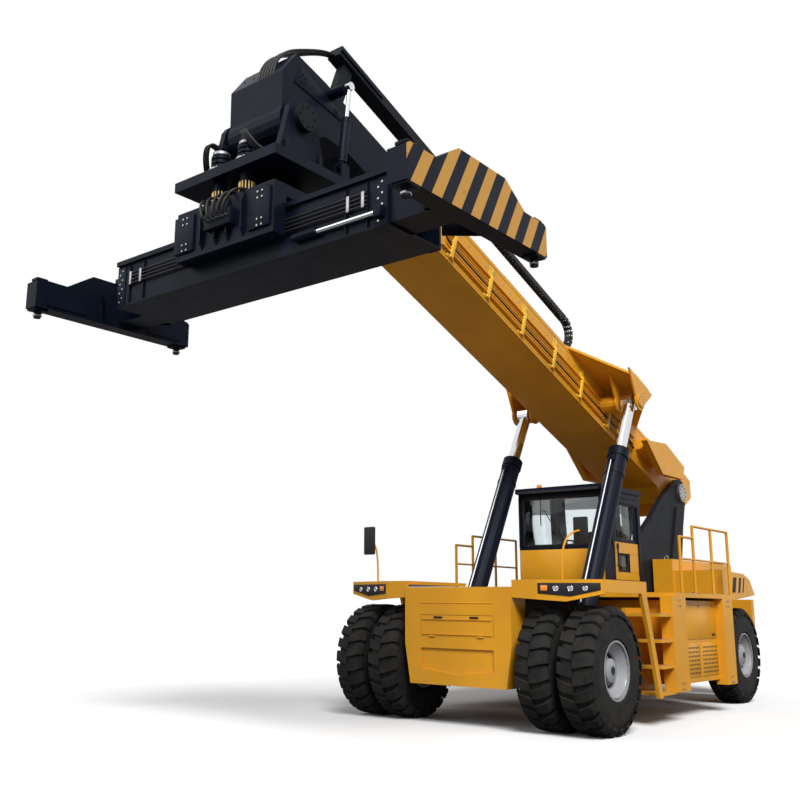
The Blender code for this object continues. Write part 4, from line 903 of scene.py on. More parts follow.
# ------------------------------------------------------------------ boom
# Boom shapes are written as (x, -along from the pivot, square to the boom).
def boom_pipes(sizes):
    """Pipes and a hose along the boom's left side, in a channel under bright clamps."""
    face = 0.50
    pipes, flexible = [], []
    for i in range(4):
        w = -0.02 + i * 0.052
        run = [(face + 0.022, -u, w) for u in (2.2, 3.6, 5.0, 6.4, 8.1)]
        (flexible if i == 1 else pipes).append(run + [(face + 0.022, -8.30, w + 0.03), (0.36, -8.42, 0.53)])
    radius = sizes.hose_radius * 0.7
    hoses("boom_side_pipes", pipes, radius, "amber", "boom", BOOM_SPACE)
    hoses("boom_side_hose", flexible, radius, "hose", "boom", BOOM_SPACE)
    channel = Shape(BOOM_SPACE)
    for w in (-0.085, 0.190):
        channel.block((face - 0.002, -8.30, w), (face + 0.045, -1.95, w + 0.012), 0.003)
    channel.finish("boom_pipe_channel", "amber", "boom", "amber_paint")
    clamps, heads = Shape(BOOM_SPACE), Shape(BOOM_SPACE)
    for u in (8.05, 7.05, 6.03, 5.02, 4.05, 3.00):
        clamps.block((face - 0.002, -u - 0.035, -0.150), (face + 0.050, -u + 0.035, 0.250), 0.008)
        clamps.block((face - 0.002, -u - 0.085, -0.150), (face + 0.014, -u + 0.085, -0.095), 0.004)
        clamps.block((face - 0.002, -u - 0.060, 0.245), (face + 0.014, -u + 0.060, 0.400), 0.004)
        for w in (-0.122, 0.215, 0.360):
            heads.bolt((face + 0.010, -u - 0.055, w), (1, 0, 0), 0.013, 0.014)
            heads.bolt((face + 0.010, -u + 0.055, w), (1, 0, 0), 0.013, 0.014)
    for i in range(24):
        heads.bolt((face, -2.4 - i * 0.24, 0.330), (1, 0, 0), 0.012, 0.008)
    clamps.finish("boom_pipe_clamps", "clamp", "boom", "amber_paint")
    heads.finish("boom_clamp_bolts", "steel", "boom", "graphite_paint")


def boom_ribs():
    """Edge flanges, pad bolts, lift pin covers and lifting eyes of the outer boom."""
    ribs, bolts = Shape(BOOM_SPACE), Shape(BOOM_SPACE)
    for side in (1, -1):
        a, b = sorted((side * 0.498, side * 0.506))
        for w in (-0.165, 0.435):
            ribs.block((a, -8.44, w), (b, -0.9, w + 0.014), 0.003)
        for u in (8.46, 8.10):
            ribs.block((a, -u, -0.20), (b, -u + 0.035, 0.50), 0.003)
        for i in range(4):
            for w in (-0.10, 0.33):
                bolts.bolt((side * 0.505, -8.40 + i * 0.07, w), (side, 0, 0), 0.014, 0.014)
        for i in range(7):
            bolts.bolt((side * (0.10 + i * 0.055), -8.42, 0.50), (0, 0, 1), 0.013, 0.012)
            bolts.bolt((side * (0.10 + i * 0.055), -8.42, -0.20), (0, 0, -1), 0.013, 0.012)
        cheek = side * (1.0 + LIFT_BARREL_RADIUS + 0.01 + 0.03)
        a, b = sorted((cheek, cheek + side * 0.022))
        ribs.bar((a, *LIFT_PIN), (b, *LIFT_PIN), 0.115, 28)
        bolts.bolts((cheek + side * 0.022, *LIFT_PIN), (side, 0, 0), 0.080, 8, 0.012, 0.012)
    for u in (1.3, 7.6):
        ribs.ring((0.0, -u, 0.545), (0, 1, 0), 0.045, 0.012, 24)
    ribs.finish("boom_flanges", "amber", "boom", "amber_paint")
    bolts.finish("boom_pad_bolts", "steel", "boom", "graphite_paint")


def boom_hoses(sizes):
    """Hoses along the boom's top under saddles, and out over its wings."""
    radius = sizes.hose_radius
    routes = []
    for i in range(3):
        x = 0.20 - i * 0.055
        routes.append([(x, -6.4, 0.545), (x, -5.4, 0.555), (x, -4.6, 0.570), (x, -3.4, 0.580),
                       (x, -2.2, 0.560), (x, -1.3, 0.570), (x + 0.02, -0.6, 0.68), (x + 0.05, 0.2, 0.70)])
    for side in (1, -1):
        for i in range(2):
            routes.append([(side * 0.515, -1.9 - i * 0.06, 0.02 + i * 0.05), (side * 0.60, -2.5, -0.05),
                           (side * 0.74, -3.0, 0.12 + i * 0.04), (side * 0.82, -3.15, 0.25)])
    hoses("boom_top_hoses", routes, radius, "hose", "boom", BOOM_SPACE)
    saddles = Shape(BOOM_SPACE)
    for u in (6.2, 5.2, 3.9, 2.6, 1.4):
        saddles.block((0.07, -u - 0.03, 0.535), (0.225, -u + 0.03, 0.602), 0.008)
    saddles.finish("boom_hose_saddles", "steel", "boom", "graphite_paint")


def tower_trim():
    """Pin covers, stiffeners and hoses on the boom tower."""
    pin = PIVOT
    covers, ribs = Shape(), Shape()
    for side in (1, -1):
        a, b = sorted((side * 0.632, side * 0.690))
        covers.bar((a, pin.y, pin.z), (b, pin.y, pin.z), 0.175, 32)
        covers.bolts((side * 0.690, pin.y, pin.z), (side, 0, 0), 0.135, 10, 0.014, 0.012)
        c, d = sorted((side * 0.628, side * 0.665))
        for outline in ([(4.12, 1.84), (4.17, 1.84), (4.17, 2.78), (4.12, 2.74)],
                        [(5.30, 1.84), (5.36, 1.84), (5.98, 3.50), (5.92, 3.52)]):
            ribs.plate('X', [(y + AXLE_Y, z) for y, z in outline], c, d)
    covers.finish("tower_pin_covers", "steel", "chassis", "graphite_paint")
    ribs.finish("tower_ribs", "graphite", "chassis", "graphite_paint")
    routes = []
    for i in range(4):
        y = 4.30 + i * 0.06
        routes.append([at(0.50 - i * 0.02, y, 1.90), at(0.50 - i * 0.02, y, 2.40), at(0.47, y + 0.25, 2.75),
                       at(0.45, y + 0.65, 2.95)])
    hoses("tower_hoses", routes, 0.017, "hose", "chassis")


def chain_links():
    """Separate links round the energy chain's run, and the hoses inside them."""
    low_w, high_w, bend_u, front_u = 0.5353, 1.13, 4.34, 9.30
    radius = (high_w - low_w) / 2
    depth, half, pitch = 0.080, 0.060, 0.075
    mid = radius - depth / 2
    stations = []
    count = int((front_u - bend_u - radius) / pitch)
    for i in range(count):
        stations.append((-(front_u - (i + 0.5) * pitch), high_w - depth / 2, 0.0))
    turn_count = int(math.pi * mid / pitch)
    for i in range(turn_count):
        turn = math.pi * (i + 0.5) / turn_count
        stations.append((-(bend_u + radius) + mid * math.sin(turn),
                         (high_w + low_w) / 2 + mid * math.cos(turn), -turn))
    for i in range(int((6.60 - bend_u - radius) / pitch)):
        stations.append((-(bend_u + radius) - (i + 0.5) * pitch, low_w + depth / 2, 0.0))
    links = Shape(BOOM_SPACE)
    for y, w, turn in stations:
        place = Matrix.Translation((0.35, y, w)) @ Matrix.Rotation(turn, 4, 'X')
        for x in (-half + 0.008, half - 0.008):
            bmesh.ops.create_cube(links.bm, size=1.0, matrix=place @ Matrix.Translation((x, 0, 0))
                                  @ Matrix.Diagonal((0.016, pitch * 0.86, depth, 1)))
        for z in (-depth / 2 + 0.008, depth / 2 - 0.008):
            bmesh.ops.create_cube(links.bm, size=1.0, matrix=place @ Matrix.Translation((0, 0, z))
                                  @ Matrix.Diagonal((half * 2 - 0.034, pitch * 0.45, 0.010, 1)))
    links.finish("energy_chain_links", "plastic", "boom", "black_plastic", 30.0, ["energy_chain"])
    inside = [[(0.35 + dx, y, w) for y, w, _ in stations[::4]] for dx in (-0.030, 0.0, 0.030)]
    hoses("energy_chain_hoses", inside, 0.011, "hose", "boom", BOOM_SPACE)


def head_trim(sizes):
    """Hoses over the boom head, the guard rails at the tray's end, and bolted plates."""
    routes = []
    for i in range(6):
        x = 0.25 - i * 0.05
        lift = 0.11 + 0.022 * (i % 3)
        routes.append([(0.35 - i * 0.012, -10.92, 1.04), (0.34 - i * 0.02, -11.06, 0.97 + lift * 0.3),
                       (x + 0.02, -11.35, 0.72 + lift * 0.3), (x, -11.55, 0.52 + lift * 0.3),
                       (x, -11.66, 0.32), (x, -11.66, 0.08), (x, -11.58, -0.10)])
    hoses("head_hoses", routes, sizes.hose_radius, "hose", "telescope", BOOM_SPACE)
    guard = Shape(BOOM_SPACE)
    for x in (0.235, 0.465):
        guard.block((x - 0.010, -10.95, 1.06), (x + 0.010, -10.05, 1.12), 0.003)
    guard.finish("chain_tray_guard", "navy", "telescope", "graphite_paint")
    plates = Shape(BOOM_SPACE)
    for side in (1, -1):
        a, b = sorted((side * 0.438, side * 0.452))
        plates.plate('X', [(-11.45, 0.02), (-10.60, 0.16), (-10.55, 0.26), (-11.42, 0.30)], a, b, 0.003)
        plates.bolts((side * 0.452, -11.35, 0.16), (side, 0, 0), 0.05, 5, 0.011, 0.010)
        plates.bolts((side * 0.452, -10.72, 0.20), (side, 0, 0), 0.03, 4, 0.011, 0.010)
    for i in range(5):
        plates.bolt((-0.32 + i * 0.16, -11.60, 0.20), (0, -1, 0), 0.014, 0.014)
    plates.finish("head_plates", "navy", "telescope", "navy_paint")


# ------------------------------------------------------------------ cylinders
def pinned_space(joint):
    """Axes at a cylinder's lower pin, +Z along it."""
    lean, stroke = joint_of(joint + "_lean"), joint_of(joint + "_stroke")
    axis = Vector(stroke["axis"])
    return Matrix.Translation(lean["pos_m"]) @ Matrix.Rotation(math.atan2(-axis.y, axis.z), 4, 'X')


def lift_cylinder(name):
    """Bands, ports, gland bolts and feed pipe of a lift cylinder's barrel."""
    space = pinned_space(name)
    trim, steel = Shape(space), Shape(space)
    length, radius = LIFT_BARREL_LENGTH, LIFT_BARREL_RADIUS
    for z0, z1, grow in ((length - 0.17, length - 0.010, 0.016), (0.30, 0.38, 0.010),
                         (length - 0.52, length - 0.48, 0.008)):
        trim.sleeve(z0, z1, radius - 0.004, radius + grow, 36)
    trim.block((-0.05, -radius - 0.055, length - 0.34), (0.05, -radius + 0.02, length - 0.22), 0.010)
    trim.block((-0.05, -radius - 0.055, 0.34), (0.05, -radius + 0.02, 0.48), 0.010)
    trim.finish(name + "_cylinder_bands", "navy", name + "_barrel", "navy_paint", 40.0)
    steel.bolts((0, 0, length - 0.010), (0, 0, 1), 0.140, 12, 0.011, 0.010)
    steel.finish(name + "_gland_bolts", "steel", name + "_barrel", "graphite_paint")
    hoses(name + "_feed_pipe", [[(0, -radius - 0.040, 0.42), (0.0, -radius - 0.045, 1.2),
                                (0.0, -radius - 0.045, 2.4), (0, -radius - 0.040, length - 0.28)]],
          0.014, "steel", name + "_barrel", space)


def damper_trim(name):
    """Rings on a swing damper."""
    space = pinned_space(name)
    rings = Shape(space)
    for z in (0.10, 0.60):
        rings.sleeve(z, z + 0.03, DAMPER_BARREL_RADIUS - 0.003, DAMPER_BARREL_RADIUS + 0.003, 24)
    rings.finish(name + "_rings", "navy", name + "_barrel", "navy_paint", 40.0)


# ------------------------------------------------------------------ spreader
def slew_drives(sizes):
    """Slewing motors, pinions, the ring gear's teeth, the hanger's pins and the hoses."""
    y = BEAM_Y
    motors, bright, pinions = Shape(), Shape(), Shape()
    for side in (1, -1):
        x, at_y = side * 0.225, y - 0.527
        foot = Vector((x, at_y, HANGER_TOP))
        bright.bar(foot, foot + Vector((0, 0, 0.035)), 0.145, 32)
        bright.bolts(foot + Vector((0, 0, 0.035)), (0, 0, 1), 0.125, 10, 0.012, 0.014)
        for k in range(3):
            motors.bar(foot + Vector((0, 0, 0.05 + k * 0.055)),
                       foot + Vector((0, 0, 0.085 + k * 0.055)), 0.118, 32)
        bright.bar(foot + Vector((0, 0, 0.22)), foot + Vector((0, 0, 0.25)), 0.105, 32)
        motors.bar(foot + Vector((0, 0, 0.25)), foot + Vector((0, 0, 0.345)), 0.070, 24, 0.062)
        motors.block((x - 0.075, at_y - 0.055, 6.80), (x + 0.075, at_y + 0.055, 6.87), 0.012)
        for i in range(14):
            turn = math.tau * i / 14
            tooth = Vector((x + 0.086 * math.cos(turn), at_y + 0.086 * math.sin(turn), 6.20))
            pinions.bar(tooth - Vector((0, 0, 0.025)), tooth + Vector((0, 0, 0.075)), 0.011, 6)
        pinions.bar((x, at_y, 6.175), (x, at_y, 6.275), 0.080, 24)
    motors.finish("slew_motors", "navy", "hanger", "navy_paint", 40.0)
    bright.finish("slew_motor_flanges", "steel", "hanger", "graphite_paint", 40.0)
    pinions.finish("slew_pinions", "brass", "hanger", "graphite_paint", 40.0)
    gear = Shape()
    count = 84
    for i in range(count):
        turn = math.tau * i / count
        place = (Matrix.Translation((0, y, 6.133)) @ Matrix.Rotation(turn, 4, 'Z')
                 @ Matrix.Translation((0.478, 0, 0)) @ Matrix.Diagonal((0.026, 0.017, 0.060, 1)))
        bmesh.ops.create_cube(gear.bm, size=1.0, matrix=place)
    gear.finish("slew_ring_teeth", "steel", "slew_frame", "graphite_paint")
    ring = Shape()
    ring.bolts((0, y, HANGER_TOP), (0, 0, 1), 0.36, 28, 0.014, 0.016)
    for side in (1, -1):
        a, b = sorted((side * 0.58, side * 0.66))
        pin = joint_of("spreader_tilt")["pos_m"]
        ring.bar((a, pin[1], pin[2]), (b, pin[1], pin[2]), 0.17, 32)
        ring.bolts((side * 0.66, pin[1], pin[2]), (side, 0, 0), 0.125, 8, 0.014, 0.012)
        ring.block((side * 0.60 - 0.02, y - 0.30, 6.50), (side * 0.60 + 0.02, y - 0.27, 6.80), 0.005)
        ring.block((side * 0.60 - 0.02, y + 0.27, 6.50), (side * 0.60 + 0.02, y + 0.30, 6.80), 0.005)
    ring.finish("hanger_pins_and_bolts", "graphite", "hanger", "navy_paint")
    routes = []
    for side in (1, -1):
        for i in range(3):
            x = side * (0.225 + 0.03 * i)
            routes.append([(x, y - 0.58, 6.84), (x + side * 0.02, y - 0.70, 6.90),
                           (x + side * 0.12, y - 0.66, 6.72), (side * (0.44 + 0.03 * i), y - 0.50, 6.56),
                           (side * (0.66 + 0.03 * i), y - 0.30, 6.55),
                           (side * (0.72 + 0.02 * i), y + 0.10, 6.56)])
    hoses("hanger_hoses", routes, sizes.hose_radius, "hose", "hanger")


def shift_frame_trim(sizes):
    """Plates, ribs, and a valve block with its hoses on the side-shift frame."""
    y = BEAM_Y
    front = y - 0.66
    shape, steel = Shape(), Shape()
    for side in (1, -1):
        shape.block((side * 0.62 - 0.20, front - 0.030, 5.60),
                    (side * 0.62 + 0.14, front + 0.004, 6.06), 0.012)
        for x in (0.10, 0.34):
            shape.plate('X', [(front + 0.005, 5.56), (front - 0.055, 5.66), (front - 0.055, 5.98),
                              (front + 0.005, 6.10)], side * x - 0.010, side * x + 0.010)
        for z in (5.66, 5.98):
            steel.bolts((side * 0.62, front - 0.030, z), (0, -1, 0), 0.05, 4, 0.012, 0.012)
    shape.block((-0.22, front - 0.10, 5.74), (0.22, front + 0.004, 5.94), 0.014)
    shape.finish("shift_frame_plates", "navy", "slew_frame", "navy_paint")
    for i in range(5):
        steel.bar((-0.16 + i * 0.08, front - 0.10, 5.84), (-0.16 + i * 0.08, front - 0.145, 5.84), 0.018, 12)
    steel.finish("shift_frame_fittings", "steel", "slew_frame", "graphite_paint")
    routes = []
    for i in range(5):
        x = -0.16 + i * 0.08
        routes.append([(x, front - 0.140, 5.84), (x, front - 0.19, 5.86), (x * 1.4, front - 0.17, 6.06),
                       (x * 1.8, front - 0.06, 6.16), (x * 2.0, front + 0.10, 6.15)])
    hoses("shift_frame_hoses", routes, sizes.hose_radius, "hose", "slew_frame")


def beam_trim():
    """Side-shift cylinder, pipes with clips, wear plates and bolts of the main beam."""
    y = BEAM_Y
    front = y - 0.45
    low, high = corner("spreader_beam", 0), corner("spreader_beam", 1)
    body, slot = "beam", "navy_paint"
    chrome, navy, steel = Shape(), Shape(), Shape()
    navy.bar((0.95, front - 0.045, 5.44), (1.28, front - 0.045, 5.44), 0.046, 24)
    chrome.bar((1.26, front - 0.045, 5.44), (2.08, front - 0.045, 5.44), 0.026, 20)
    navy.block((2.06, front - 0.080, 5.38), (2.16, front + 0.004, 5.50), 0.010)
    for side in (1, -1):
        a, b = sorted((side * (high.x - 0.16), side * (high.x - 0.002)))
        navy.block((a, front - 0.012, low.z - 0.004), (b, front + 0.003, 5.83), 0.004)
        navy.block((a, y + 0.447, low.z - 0.004), (b, y + 0.462, 5.83), 0.004)
        for z in (5.38, 5.50, 5.62, 5.74):
            steel.bolts((side * (high.x - 0.09), front - 0.012, z), (0, -1, 0), 0.035, 2, 0.012, 0.010)
            steel.bolts((side * (high.x - 0.09), y + 0.462, z), (0, 1, 0), 0.035, 2, 0.012, 0.010)
        for u in (1.66, 1.94):
            navy.plate('X', [(front + 0.003, 5.32), (front - 0.024, 5.34), (front - 0.024, 5.80),
                             (front + 0.003, 5.82)], side * u - 0.006, side * u + 0.006)
    navy.finish("beam_plates", "navy", body, slot)
    chrome.finish("side_shift_rod", "chrome", body, "chrome_rod")
    steel.finish("beam_bolts", "steel", body, "graphite_paint")
    routes = []
    for i in range(4):
        z = 5.56 + i * 0.045
        routes.append([(x, front - 0.030, z) for x in (-1.95, -1.0, 0.0, 1.0, 1.95)])
        routes.append([(x, y + 0.475, z) for x in (-1.95, -0.6, 0.6, 1.95)])
    hoses("beam_pipes", routes, 0.012, "hose", body)
    clips = Shape()
    for x in (-1.9, -1.7, 1.7, 1.9):
        clips.block((x - 0.02, front - 0.046, 5.54), (x + 0.02, front - 0.008, 5.715), 0.005)
        clips.block((x - 0.02, y + 0.448, 5.54), (x + 0.02, y + 0.491, 5.715), 0.005)
    clips.finish("beam_pipe_clips", "steel", body, "graphite_paint")


def arm_trim(side, name):
    """Corner plates, guides, lamp case and lock cones of one spreader arm."""
    low, high = corner(name, 0), corner(name, 1)
    y = (low.y + high.y) / 2
    plates, cones = Shape(), Shape()
    inner = side * 2.80
    for ahead in (1, -1):
        place = Vector((side * 2.9265, y + ahead * 1.1295, 0))
        plates.block((place.x - 0.088, place.y - 0.100, 5.225),
                     (place.x + 0.088, place.y + 0.100, 5.262), 0.008)
        plates.block((place.x - 0.070, place.y - 0.080, 5.618),
                     (place.x + 0.070, place.y + 0.080, 5.66), 0.010)
        cones.bar(place + Vector((0, 0, 5.141)), place + Vector((0, 0, 5.175)), 0.034, 20, 0.052)
        cones.block((place.x - 0.030, place.y - 0.052, 5.158),
                    (place.x + 0.030, place.y + 0.052, 5.185), 0.008)
        cones.bar(place + Vector((0, 0, 5.185)), place + Vector((0, 0, 5.235)), 0.040, 20)
        c, d = sorted((inner, inner - side * 0.014))
        plates.plate('X', [(place.y - ahead * 0.05, 5.30), (place.y - ahead * 0.62, 5.30),
                           (place.y - ahead * 0.62, 5.56), (place.y - ahead * 0.05, 5.50)], c, d)
    for off in (-0.40, 0.40):
        c, d = sorted((inner - side * 0.42, inner + side * 0.01))
        plates.plate('Z', [(c, y + off * 0.55 - 0.010), (d, y + off * 1.45 - 0.010),
                           (d, y + off * 1.45 + 0.010), (c, y + off * 0.55 + 0.010)], 5.34, 5.56)
    plates.finish(name + "_plates", "navy", name, "navy_paint")
    cones.finish(name + "_lock_cones", "steel", name, "graphite_paint")
    lamp = Shape()
    mid_x = inner - side * 0.02
    lamp.block((mid_x - 0.05, y - 0.06, 5.862), (mid_x + 0.05, y + 0.06, 5.93), 0.012)
    lamp.finish(name + "_lamp_case", "plastic", name, "black_plastic")


# ------------------------------------------------------------------ stage
def stage():
    """Pale floor, plain white surroundings, soft lamps and the camera."""
    scene = bpy.context.scene
    scene.view_settings.view_transform = 'Standard'
    bm = bmesh.new()
    bmesh.ops.create_grid(bm, x_segments=1, y_segments=1, size=120.0)
    mesh = bpy.data.meshes.new("floor")
    bm.to_mesh(mesh)
    bm.free()
    floor = bpy.data.objects.new("floor", mesh)
    scene.collection.objects.link(floor)
    material = bpy.data.materials.new("floor_finish")
    material.use_nodes = True
    tree = material.node_tree
    main = tree.nodes["Principled BSDF"]
    main.inputs["Roughness"].default_value = 0.9
    main.inputs["Specular IOR Level"].default_value = 0.0
    seen = tree.nodes.new("ShaderNodeLightPath")
    shade_mix = tree.nodes.new("ShaderNodeMix")
    shade_mix.data_type = 'RGBA'
    shade_mix.inputs[6].default_value = (0.20, 0.20, 0.20, 1.0)
    shade_mix.inputs[7].default_value = (0.95, 0.95, 0.95, 1.0)
    tree.links.new(seen.outputs["Is Camera Ray"], shade_mix.inputs[0])
    tree.links.new(shade_mix.outputs[2], main.inputs["Base Color"])
    mesh.materials.append(material)
    world = bpy.data.worlds.new("studio")
    scene.world = world
    world.use_nodes = True
    tree = world.node_tree
    sky = tree.nodes["Background"]
    sky.inputs["Color"].default_value = (0.95, 0.97, 1.0, 1.0)
    sky.inputs["Strength"].default_value = 0.30
    white = tree.nodes.new("ShaderNodeBackground")
    white.inputs["Color"].default_value = (1.0, 1.0, 1.0, 1.0)
    white.inputs["Strength"].default_value = 1.0
    path = tree.nodes.new("ShaderNodeLightPath")
    mix = tree.nodes.new("ShaderNodeMixShader")
    clear = [path.outputs[name] for name in ("Is Camera Ray", "Is Glossy Ray", "Is Transmission Ray")]
    either = clear[0]
    for output in clear[1:]:
        greater = tree.nodes.new("ShaderNodeMath")
        greater.operation = 'MAXIMUM'
        tree.links.new(either, greater.inputs[0])
        tree.links.new(output, greater.inputs[1])
        either = greater.outputs[0]
    tree.links.new(either, mix.inputs[0])
    tree.links.new(sky.outputs[0], mix.inputs[1])
    tree.links.new(white.outputs[0], mix.inputs[2])
    tree.links.new(mix.outputs[0], tree.nodes["World Output"].inputs[0])
    for name, place, aim, energy, size in (("key_sun", (11, -11, 18), (0, 0, 3), 3.6, 0.42),
                                           ("fill_sun", (-10, -14, 12), (0, 0, 3), 0.45, 0.6)):
        light = bpy.data.lights.new(name, 'SUN')
        light.energy, light.angle = energy, size
        lamp = bpy.data.objects.new(name, light)
        lamp.location = place
        lamp.rotation_mode = 'QUATERNION'
        lamp.rotation_quaternion = (Vector(aim) - Vector(place)).to_track_quat('-Z', 'Y')
        scene.collection.objects.link(lamp)
    camera = bpy.data.cameras.new("camera")
    camera.sensor_width, camera.lens = 36.0, 42.94
    camera.shift_x, camera.shift_y = 0.0624, 0.0025
    camera.clip_end = 400.0
    holder = bpy.data.objects.new("camera", camera)
    scene.collection.objects.link(holder)
    turn, pitch, roll = [math.radians(angle) for angle in (CAMERA_TURN, CAMERA_PITCH, CAMERA_ROLL)]
    ahead = Vector((-math.sin(turn) * math.cos(pitch), math.cos(turn) * math.cos(pitch), math.sin(pitch)))
    right = Vector((math.cos(turn), math.sin(turn), 0.0))
    above = right.cross(ahead)
    right, above = (right * math.cos(roll) + above * math.sin(roll),
                    above * math.cos(roll) - right * math.sin(roll))
    axes = Matrix((right, above, -ahead)).transposed()
    holder.matrix_world = Matrix.Translation(at(*CAMERA_PLACE)) @ axes.to_4x4()
    scene.camera = holder


NODE_FINISHES = {"amber_paint": "amber", "navy_paint": "navy", "graphite_paint": "graphite",
                 "tyre_rubber": "rubber", "rim_silver": "silver", "chrome_rod": "chrome",
                 "black_plastic": "plastic", "seat_fabric": "cloth"}


def finish_nodes():
    """Gives every CAD node the finish of its slot."""
    for part in frame["record"]["subparts"]:
        obj = frame["nodes"][part["node"]]
        striped_node = part["node"] in ("left_arm", "right_arm")
        finish = FINISHED["stripes" if striped_node else NODE_FINISHES[part["material_slot"]]]
        if obj.data.materials:
            for i in range(len(obj.data.materials)):
                obj.data.materials[i] = finish
        else:
            obj.data.materials.append(finish)
        for link in obj.material_slots:
            link.material = finish


# ------------------------------------------------------------------ operators
class STACKER_OT_finishes(bpy.types.Operator):
    """Makes every finish and paints the CAD nodes."""
    bl_idname = "stacker.finishes"
    bl_label = "Finishes"

    def execute(self, context):
        make_finishes(context.scene.stacker_colours, context.scene.stacker_sizes)
        finish_nodes()
        return {'FINISHED'}


class STACKER_OT_stage(bpy.types.Operator):
    """Floor, lamps and camera."""
    bl_idname = "stacker.stage"
    bl_label = "Stage"

    def execute(self, context):
        stage()
        return {'FINISHED'}


class STACKER_OT_tyres(bpy.types.Operator):
    """Tyres with slanted lugs."""
    bl_idname = "stacker.tyres"
    bl_label = "Tyres"

    def execute(self, context):
        for node in TYRES:
            tyre(node, context.scene.stacker_sizes)
        return {'FINISHED'}


class STACKER_OT_rims(bpy.types.Operator):
    """Hubs, bolts and slotted dishes."""
    bl_idname = "stacker.rims"
    bl_label = "Wheel hubs"

    def execute(self, context):
        for node in RIMS:
            rim(node)
        return {'FINISHED'}


class STACKER_OT_fender_lamps(bpy.types.Operator):
    """Lamp panels on both fenders."""
    bl_idname = "stacker.fender_lamps"
    bl_label = "Fender lamps"

    def execute(self, context):
        for side, name in SIDES:
            fender_lamps(side, name)
        return {'FINISHED'}


class STACKER_OT_nose(bpy.types.Operator):
    """Hatch slots and ribs, and the ledge over it."""
    bl_idname = "stacker.nose"
    bl_label = "Nose"

    def execute(self, context):
        nose_trim()
        return {'FINISHED'}


class STACKER_OT_side_boxes(bpy.types.Operator):
    """Panels, vents, steps and walkways."""
    bl_idname = "stacker.side_boxes"
    bl_label = "Side boxes"

    def execute(self, context):
        for side, name in SIDES:
            side_trim(side, name)
        return {'FINISHED'}


class STACKER_OT_hood(bpy.types.Operator):
    """Louvres, grille, eyes and rear lamps."""
    bl_idname = "stacker.hood"
    bl_label = "Hood"

    def execute(self, context):
        hood_trim()
        return {'FINISHED'}


class STACKER_OT_rear_panels(bpy.types.Operator):
    """Plain bars on the rear mudguards."""
    bl_idname = "stacker.rear_panels"
    bl_label = "Rear panels"

    def execute(self, context):
        for side, name in SIDES:
            rear_panel(side, name)
        return {'FINISHED'}


class STACKER_OT_cab_glass(bpy.types.Operator):
    """Panes and seals of the cab."""
    bl_idname = "stacker.cab_glass"
    bl_label = "Cab glass"

    def execute(self, context):
        cab_glass(context.scene.stacker_sizes)
        return {'FINISHED'}


class STACKER_OT_cab(bpy.types.Operator):
    """Front panel and frame, wiper, visor, beacon and door fittings."""
    bl_idname = "stacker.cab"
    bl_label = "Cab trim"

    def execute(self, context):
        cab_trim()
        return {'FINISHED'}


class STACKER_OT_seat(bpy.types.Operator):
    """Cloth seat on its pan."""
    bl_idname = "stacker.seat"
    bl_label = "Seat"

    def execute(self, context):
        seat_piece()
        return {'FINISHED'}


class STACKER_OT_console(bpy.types.Operator):
    """Console, steering wheel and display."""
    bl_idname = "stacker.console"
    bl_label = "Console"

    def execute(self, context):
        steering_wheel()
        return {'FINISHED'}


class STACKER_OT_mirrors(bpy.types.Operator):
    """A mirror on the right fender and one beside the cab."""
    bl_idname = "stacker.mirrors"
    bl_label = "Mirrors"

    def execute(self, context):
        mirror_on_arm("fender_mirror", at(-1.55, -0.42, 1.97), at(-1.60, -0.56, 2.58), 0.20, 0.42)
        mirror_on_arm("cab_mirror", at(1.24, 0.16, 1.97), at(1.40, 0.46, 2.68), 0.22, 0.38)
        return {'FINISHED'}


class STACKER_OT_pipes(bpy.types.Operator):
    """Pipes and clamps on the boom's side."""
    bl_idname = "stacker.pipes"
    bl_label = "Boom pipes"

    def execute(self, context):
        boom_pipes(context.scene.stacker_sizes)
        return {'FINISHED'}


class STACKER_OT_boom(bpy.types.Operator):
    """Flanges, bolts and eyes."""
    bl_idname = "stacker.boom"
    bl_label = "Boom trim"

    def execute(self, context):
        boom_ribs()
        return {'FINISHED'}


class STACKER_OT_boom_hoses(bpy.types.Operator):
    """Hoses over the boom."""
    bl_idname = "stacker.boom_hoses"
    bl_label = "Boom hoses"

    def execute(self, context):
        boom_hoses(context.scene.stacker_sizes)
        return {'FINISHED'}


class STACKER_OT_tower(bpy.types.Operator):
    """Pin covers, ribs and hoses."""
    bl_idname = "stacker.tower"
    bl_label = "Tower"

    def execute(self, context):
        tower_trim()
        return {'FINISHED'}


class STACKER_OT_chain(bpy.types.Operator):
    """Links round the chain's run."""
    bl_idname = "stacker.chain"
    bl_label = "Energy chain"

    def execute(self, context):
        chain_links()
        return {'FINISHED'}


class STACKER_OT_head(bpy.types.Operator):
    """Hoses, guard and plates."""
    bl_idname = "stacker.head"
    bl_label = "Boom head"

    def execute(self, context):
        head_trim(context.scene.stacker_sizes)
        return {'FINISHED'}


class STACKER_OT_lift(bpy.types.Operator):
    """Bands, bolts and feed pipes."""
    bl_idname = "stacker.lift"
    bl_label = "Lift cylinders"

    def execute(self, context):
        for _, name in SIDES:
            lift_cylinder(name + "_lift")
        return {'FINISHED'}


class STACKER_OT_dampers(bpy.types.Operator):
    """Rings on the dampers."""
    bl_idname = "stacker.dampers"
    bl_label = "Swing dampers"

    def execute(self, context):
        for _, name in SIDES:
            damper_trim(name + "_damper")
        return {'FINISHED'}


class STACKER_OT_slew(bpy.types.Operator):
    """Motors, pinions and ring gear."""
    bl_idname = "stacker.slew"
    bl_label = "Slewing gear"

    def execute(self, context):
        slew_drives(context.scene.stacker_sizes)
        return {'FINISHED'}


class STACKER_OT_shift_frame(bpy.types.Operator):
    """Plates, fittings and hoses."""
    bl_idname = "stacker.shift_frame"
    bl_label = "Side-shift frame"

    def execute(self, context):
        shift_frame_trim(context.scene.stacker_sizes)
        return {'FINISHED'}


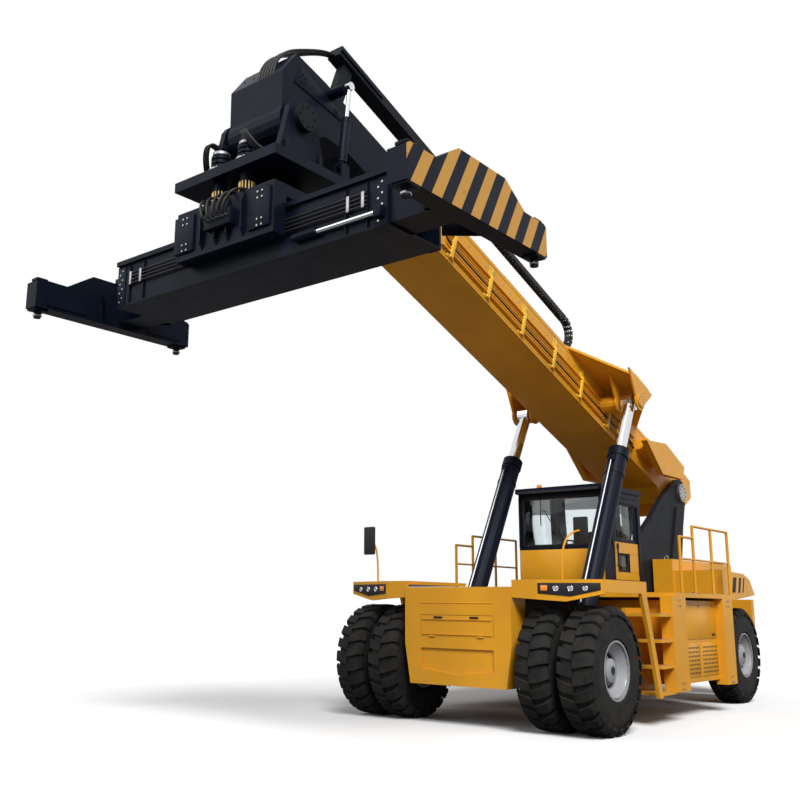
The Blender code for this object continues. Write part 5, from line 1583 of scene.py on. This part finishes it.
class STACKER_OT_beam(bpy.types.Operator):
    """Rod, pipes, plates and bolts."""
    bl_idname = "stacker.beam"
    bl_label = "Main beam"

    def execute(self, context):
        beam_trim()
        return {'FINISHED'}


class STACKER_OT_arms(bpy.types.Operator):
    """Plates, guides, lamp cases and lock cones."""
    bl_idname = "stacker.arms"
    bl_label = "Spreader arms"

    def execute(self, context):
        for side, name in SIDES:
            arm_trim(side, name + "_arm")
        return {'FINISHED'}


OPERATORS = (STACKER_OT_finishes, STACKER_OT_stage, STACKER_OT_tyres, STACKER_OT_rims,
             STACKER_OT_fender_lamps, STACKER_OT_nose, STACKER_OT_side_boxes, STACKER_OT_hood,
             STACKER_OT_rear_panels, STACKER_OT_cab_glass, STACKER_OT_cab, STACKER_OT_seat,
             STACKER_OT_console, STACKER_OT_mirrors, STACKER_OT_pipes, STACKER_OT_boom,
             STACKER_OT_boom_hoses, STACKER_OT_tower, STACKER_OT_chain, STACKER_OT_head,
             STACKER_OT_lift, STACKER_OT_dampers, STACKER_OT_slew, STACKER_OT_shift_frame,
             STACKER_OT_beam, STACKER_OT_arms)


class STACKER_PT_panel(bpy.types.Panel):
    """The sizes, the colours and every step, in the sidebar."""
    bl_idname = "STACKER_PT_panel"
    bl_label = "Reach stacker"
    bl_space_type = 'VIEW_3D'
    bl_region_type = 'UI'
    bl_category = "Reach stacker"

    def draw(self, context):
        layout = self.layout
        for group in (context.scene.stacker_sizes, context.scene.stacker_colours):
            for name in group.__annotations__:
                layout.prop(group, name)
        for operator in OPERATORS:
            layout.operator(operator.bl_idname)


CLASSES = (StackerSizes, StackerColours, *OPERATORS, STACKER_PT_panel)


def register():
    """Adds the classes and the scene's two groups."""
    for item in CLASSES:
        bpy.utils.register_class(item)
    bpy.types.Scene.stacker_sizes = PointerProperty(type=StackerSizes)
    bpy.types.Scene.stacker_colours = PointerProperty(type=StackerColours)


def unregister():
    """Removes them again."""
    del bpy.types.Scene.stacker_colours
    del bpy.types.Scene.stacker_sizes
    for item in reversed(CLASSES):
        bpy.utils.unregister_class(item)


def main():
    """Makes every piece in order."""
    register()
    for operator in OPERATORS:
        group, word = operator.bl_idname.split(".")
        getattr(getattr(bpy.ops, group), word)()
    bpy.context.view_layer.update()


if __name__ == "__main__":
    main()
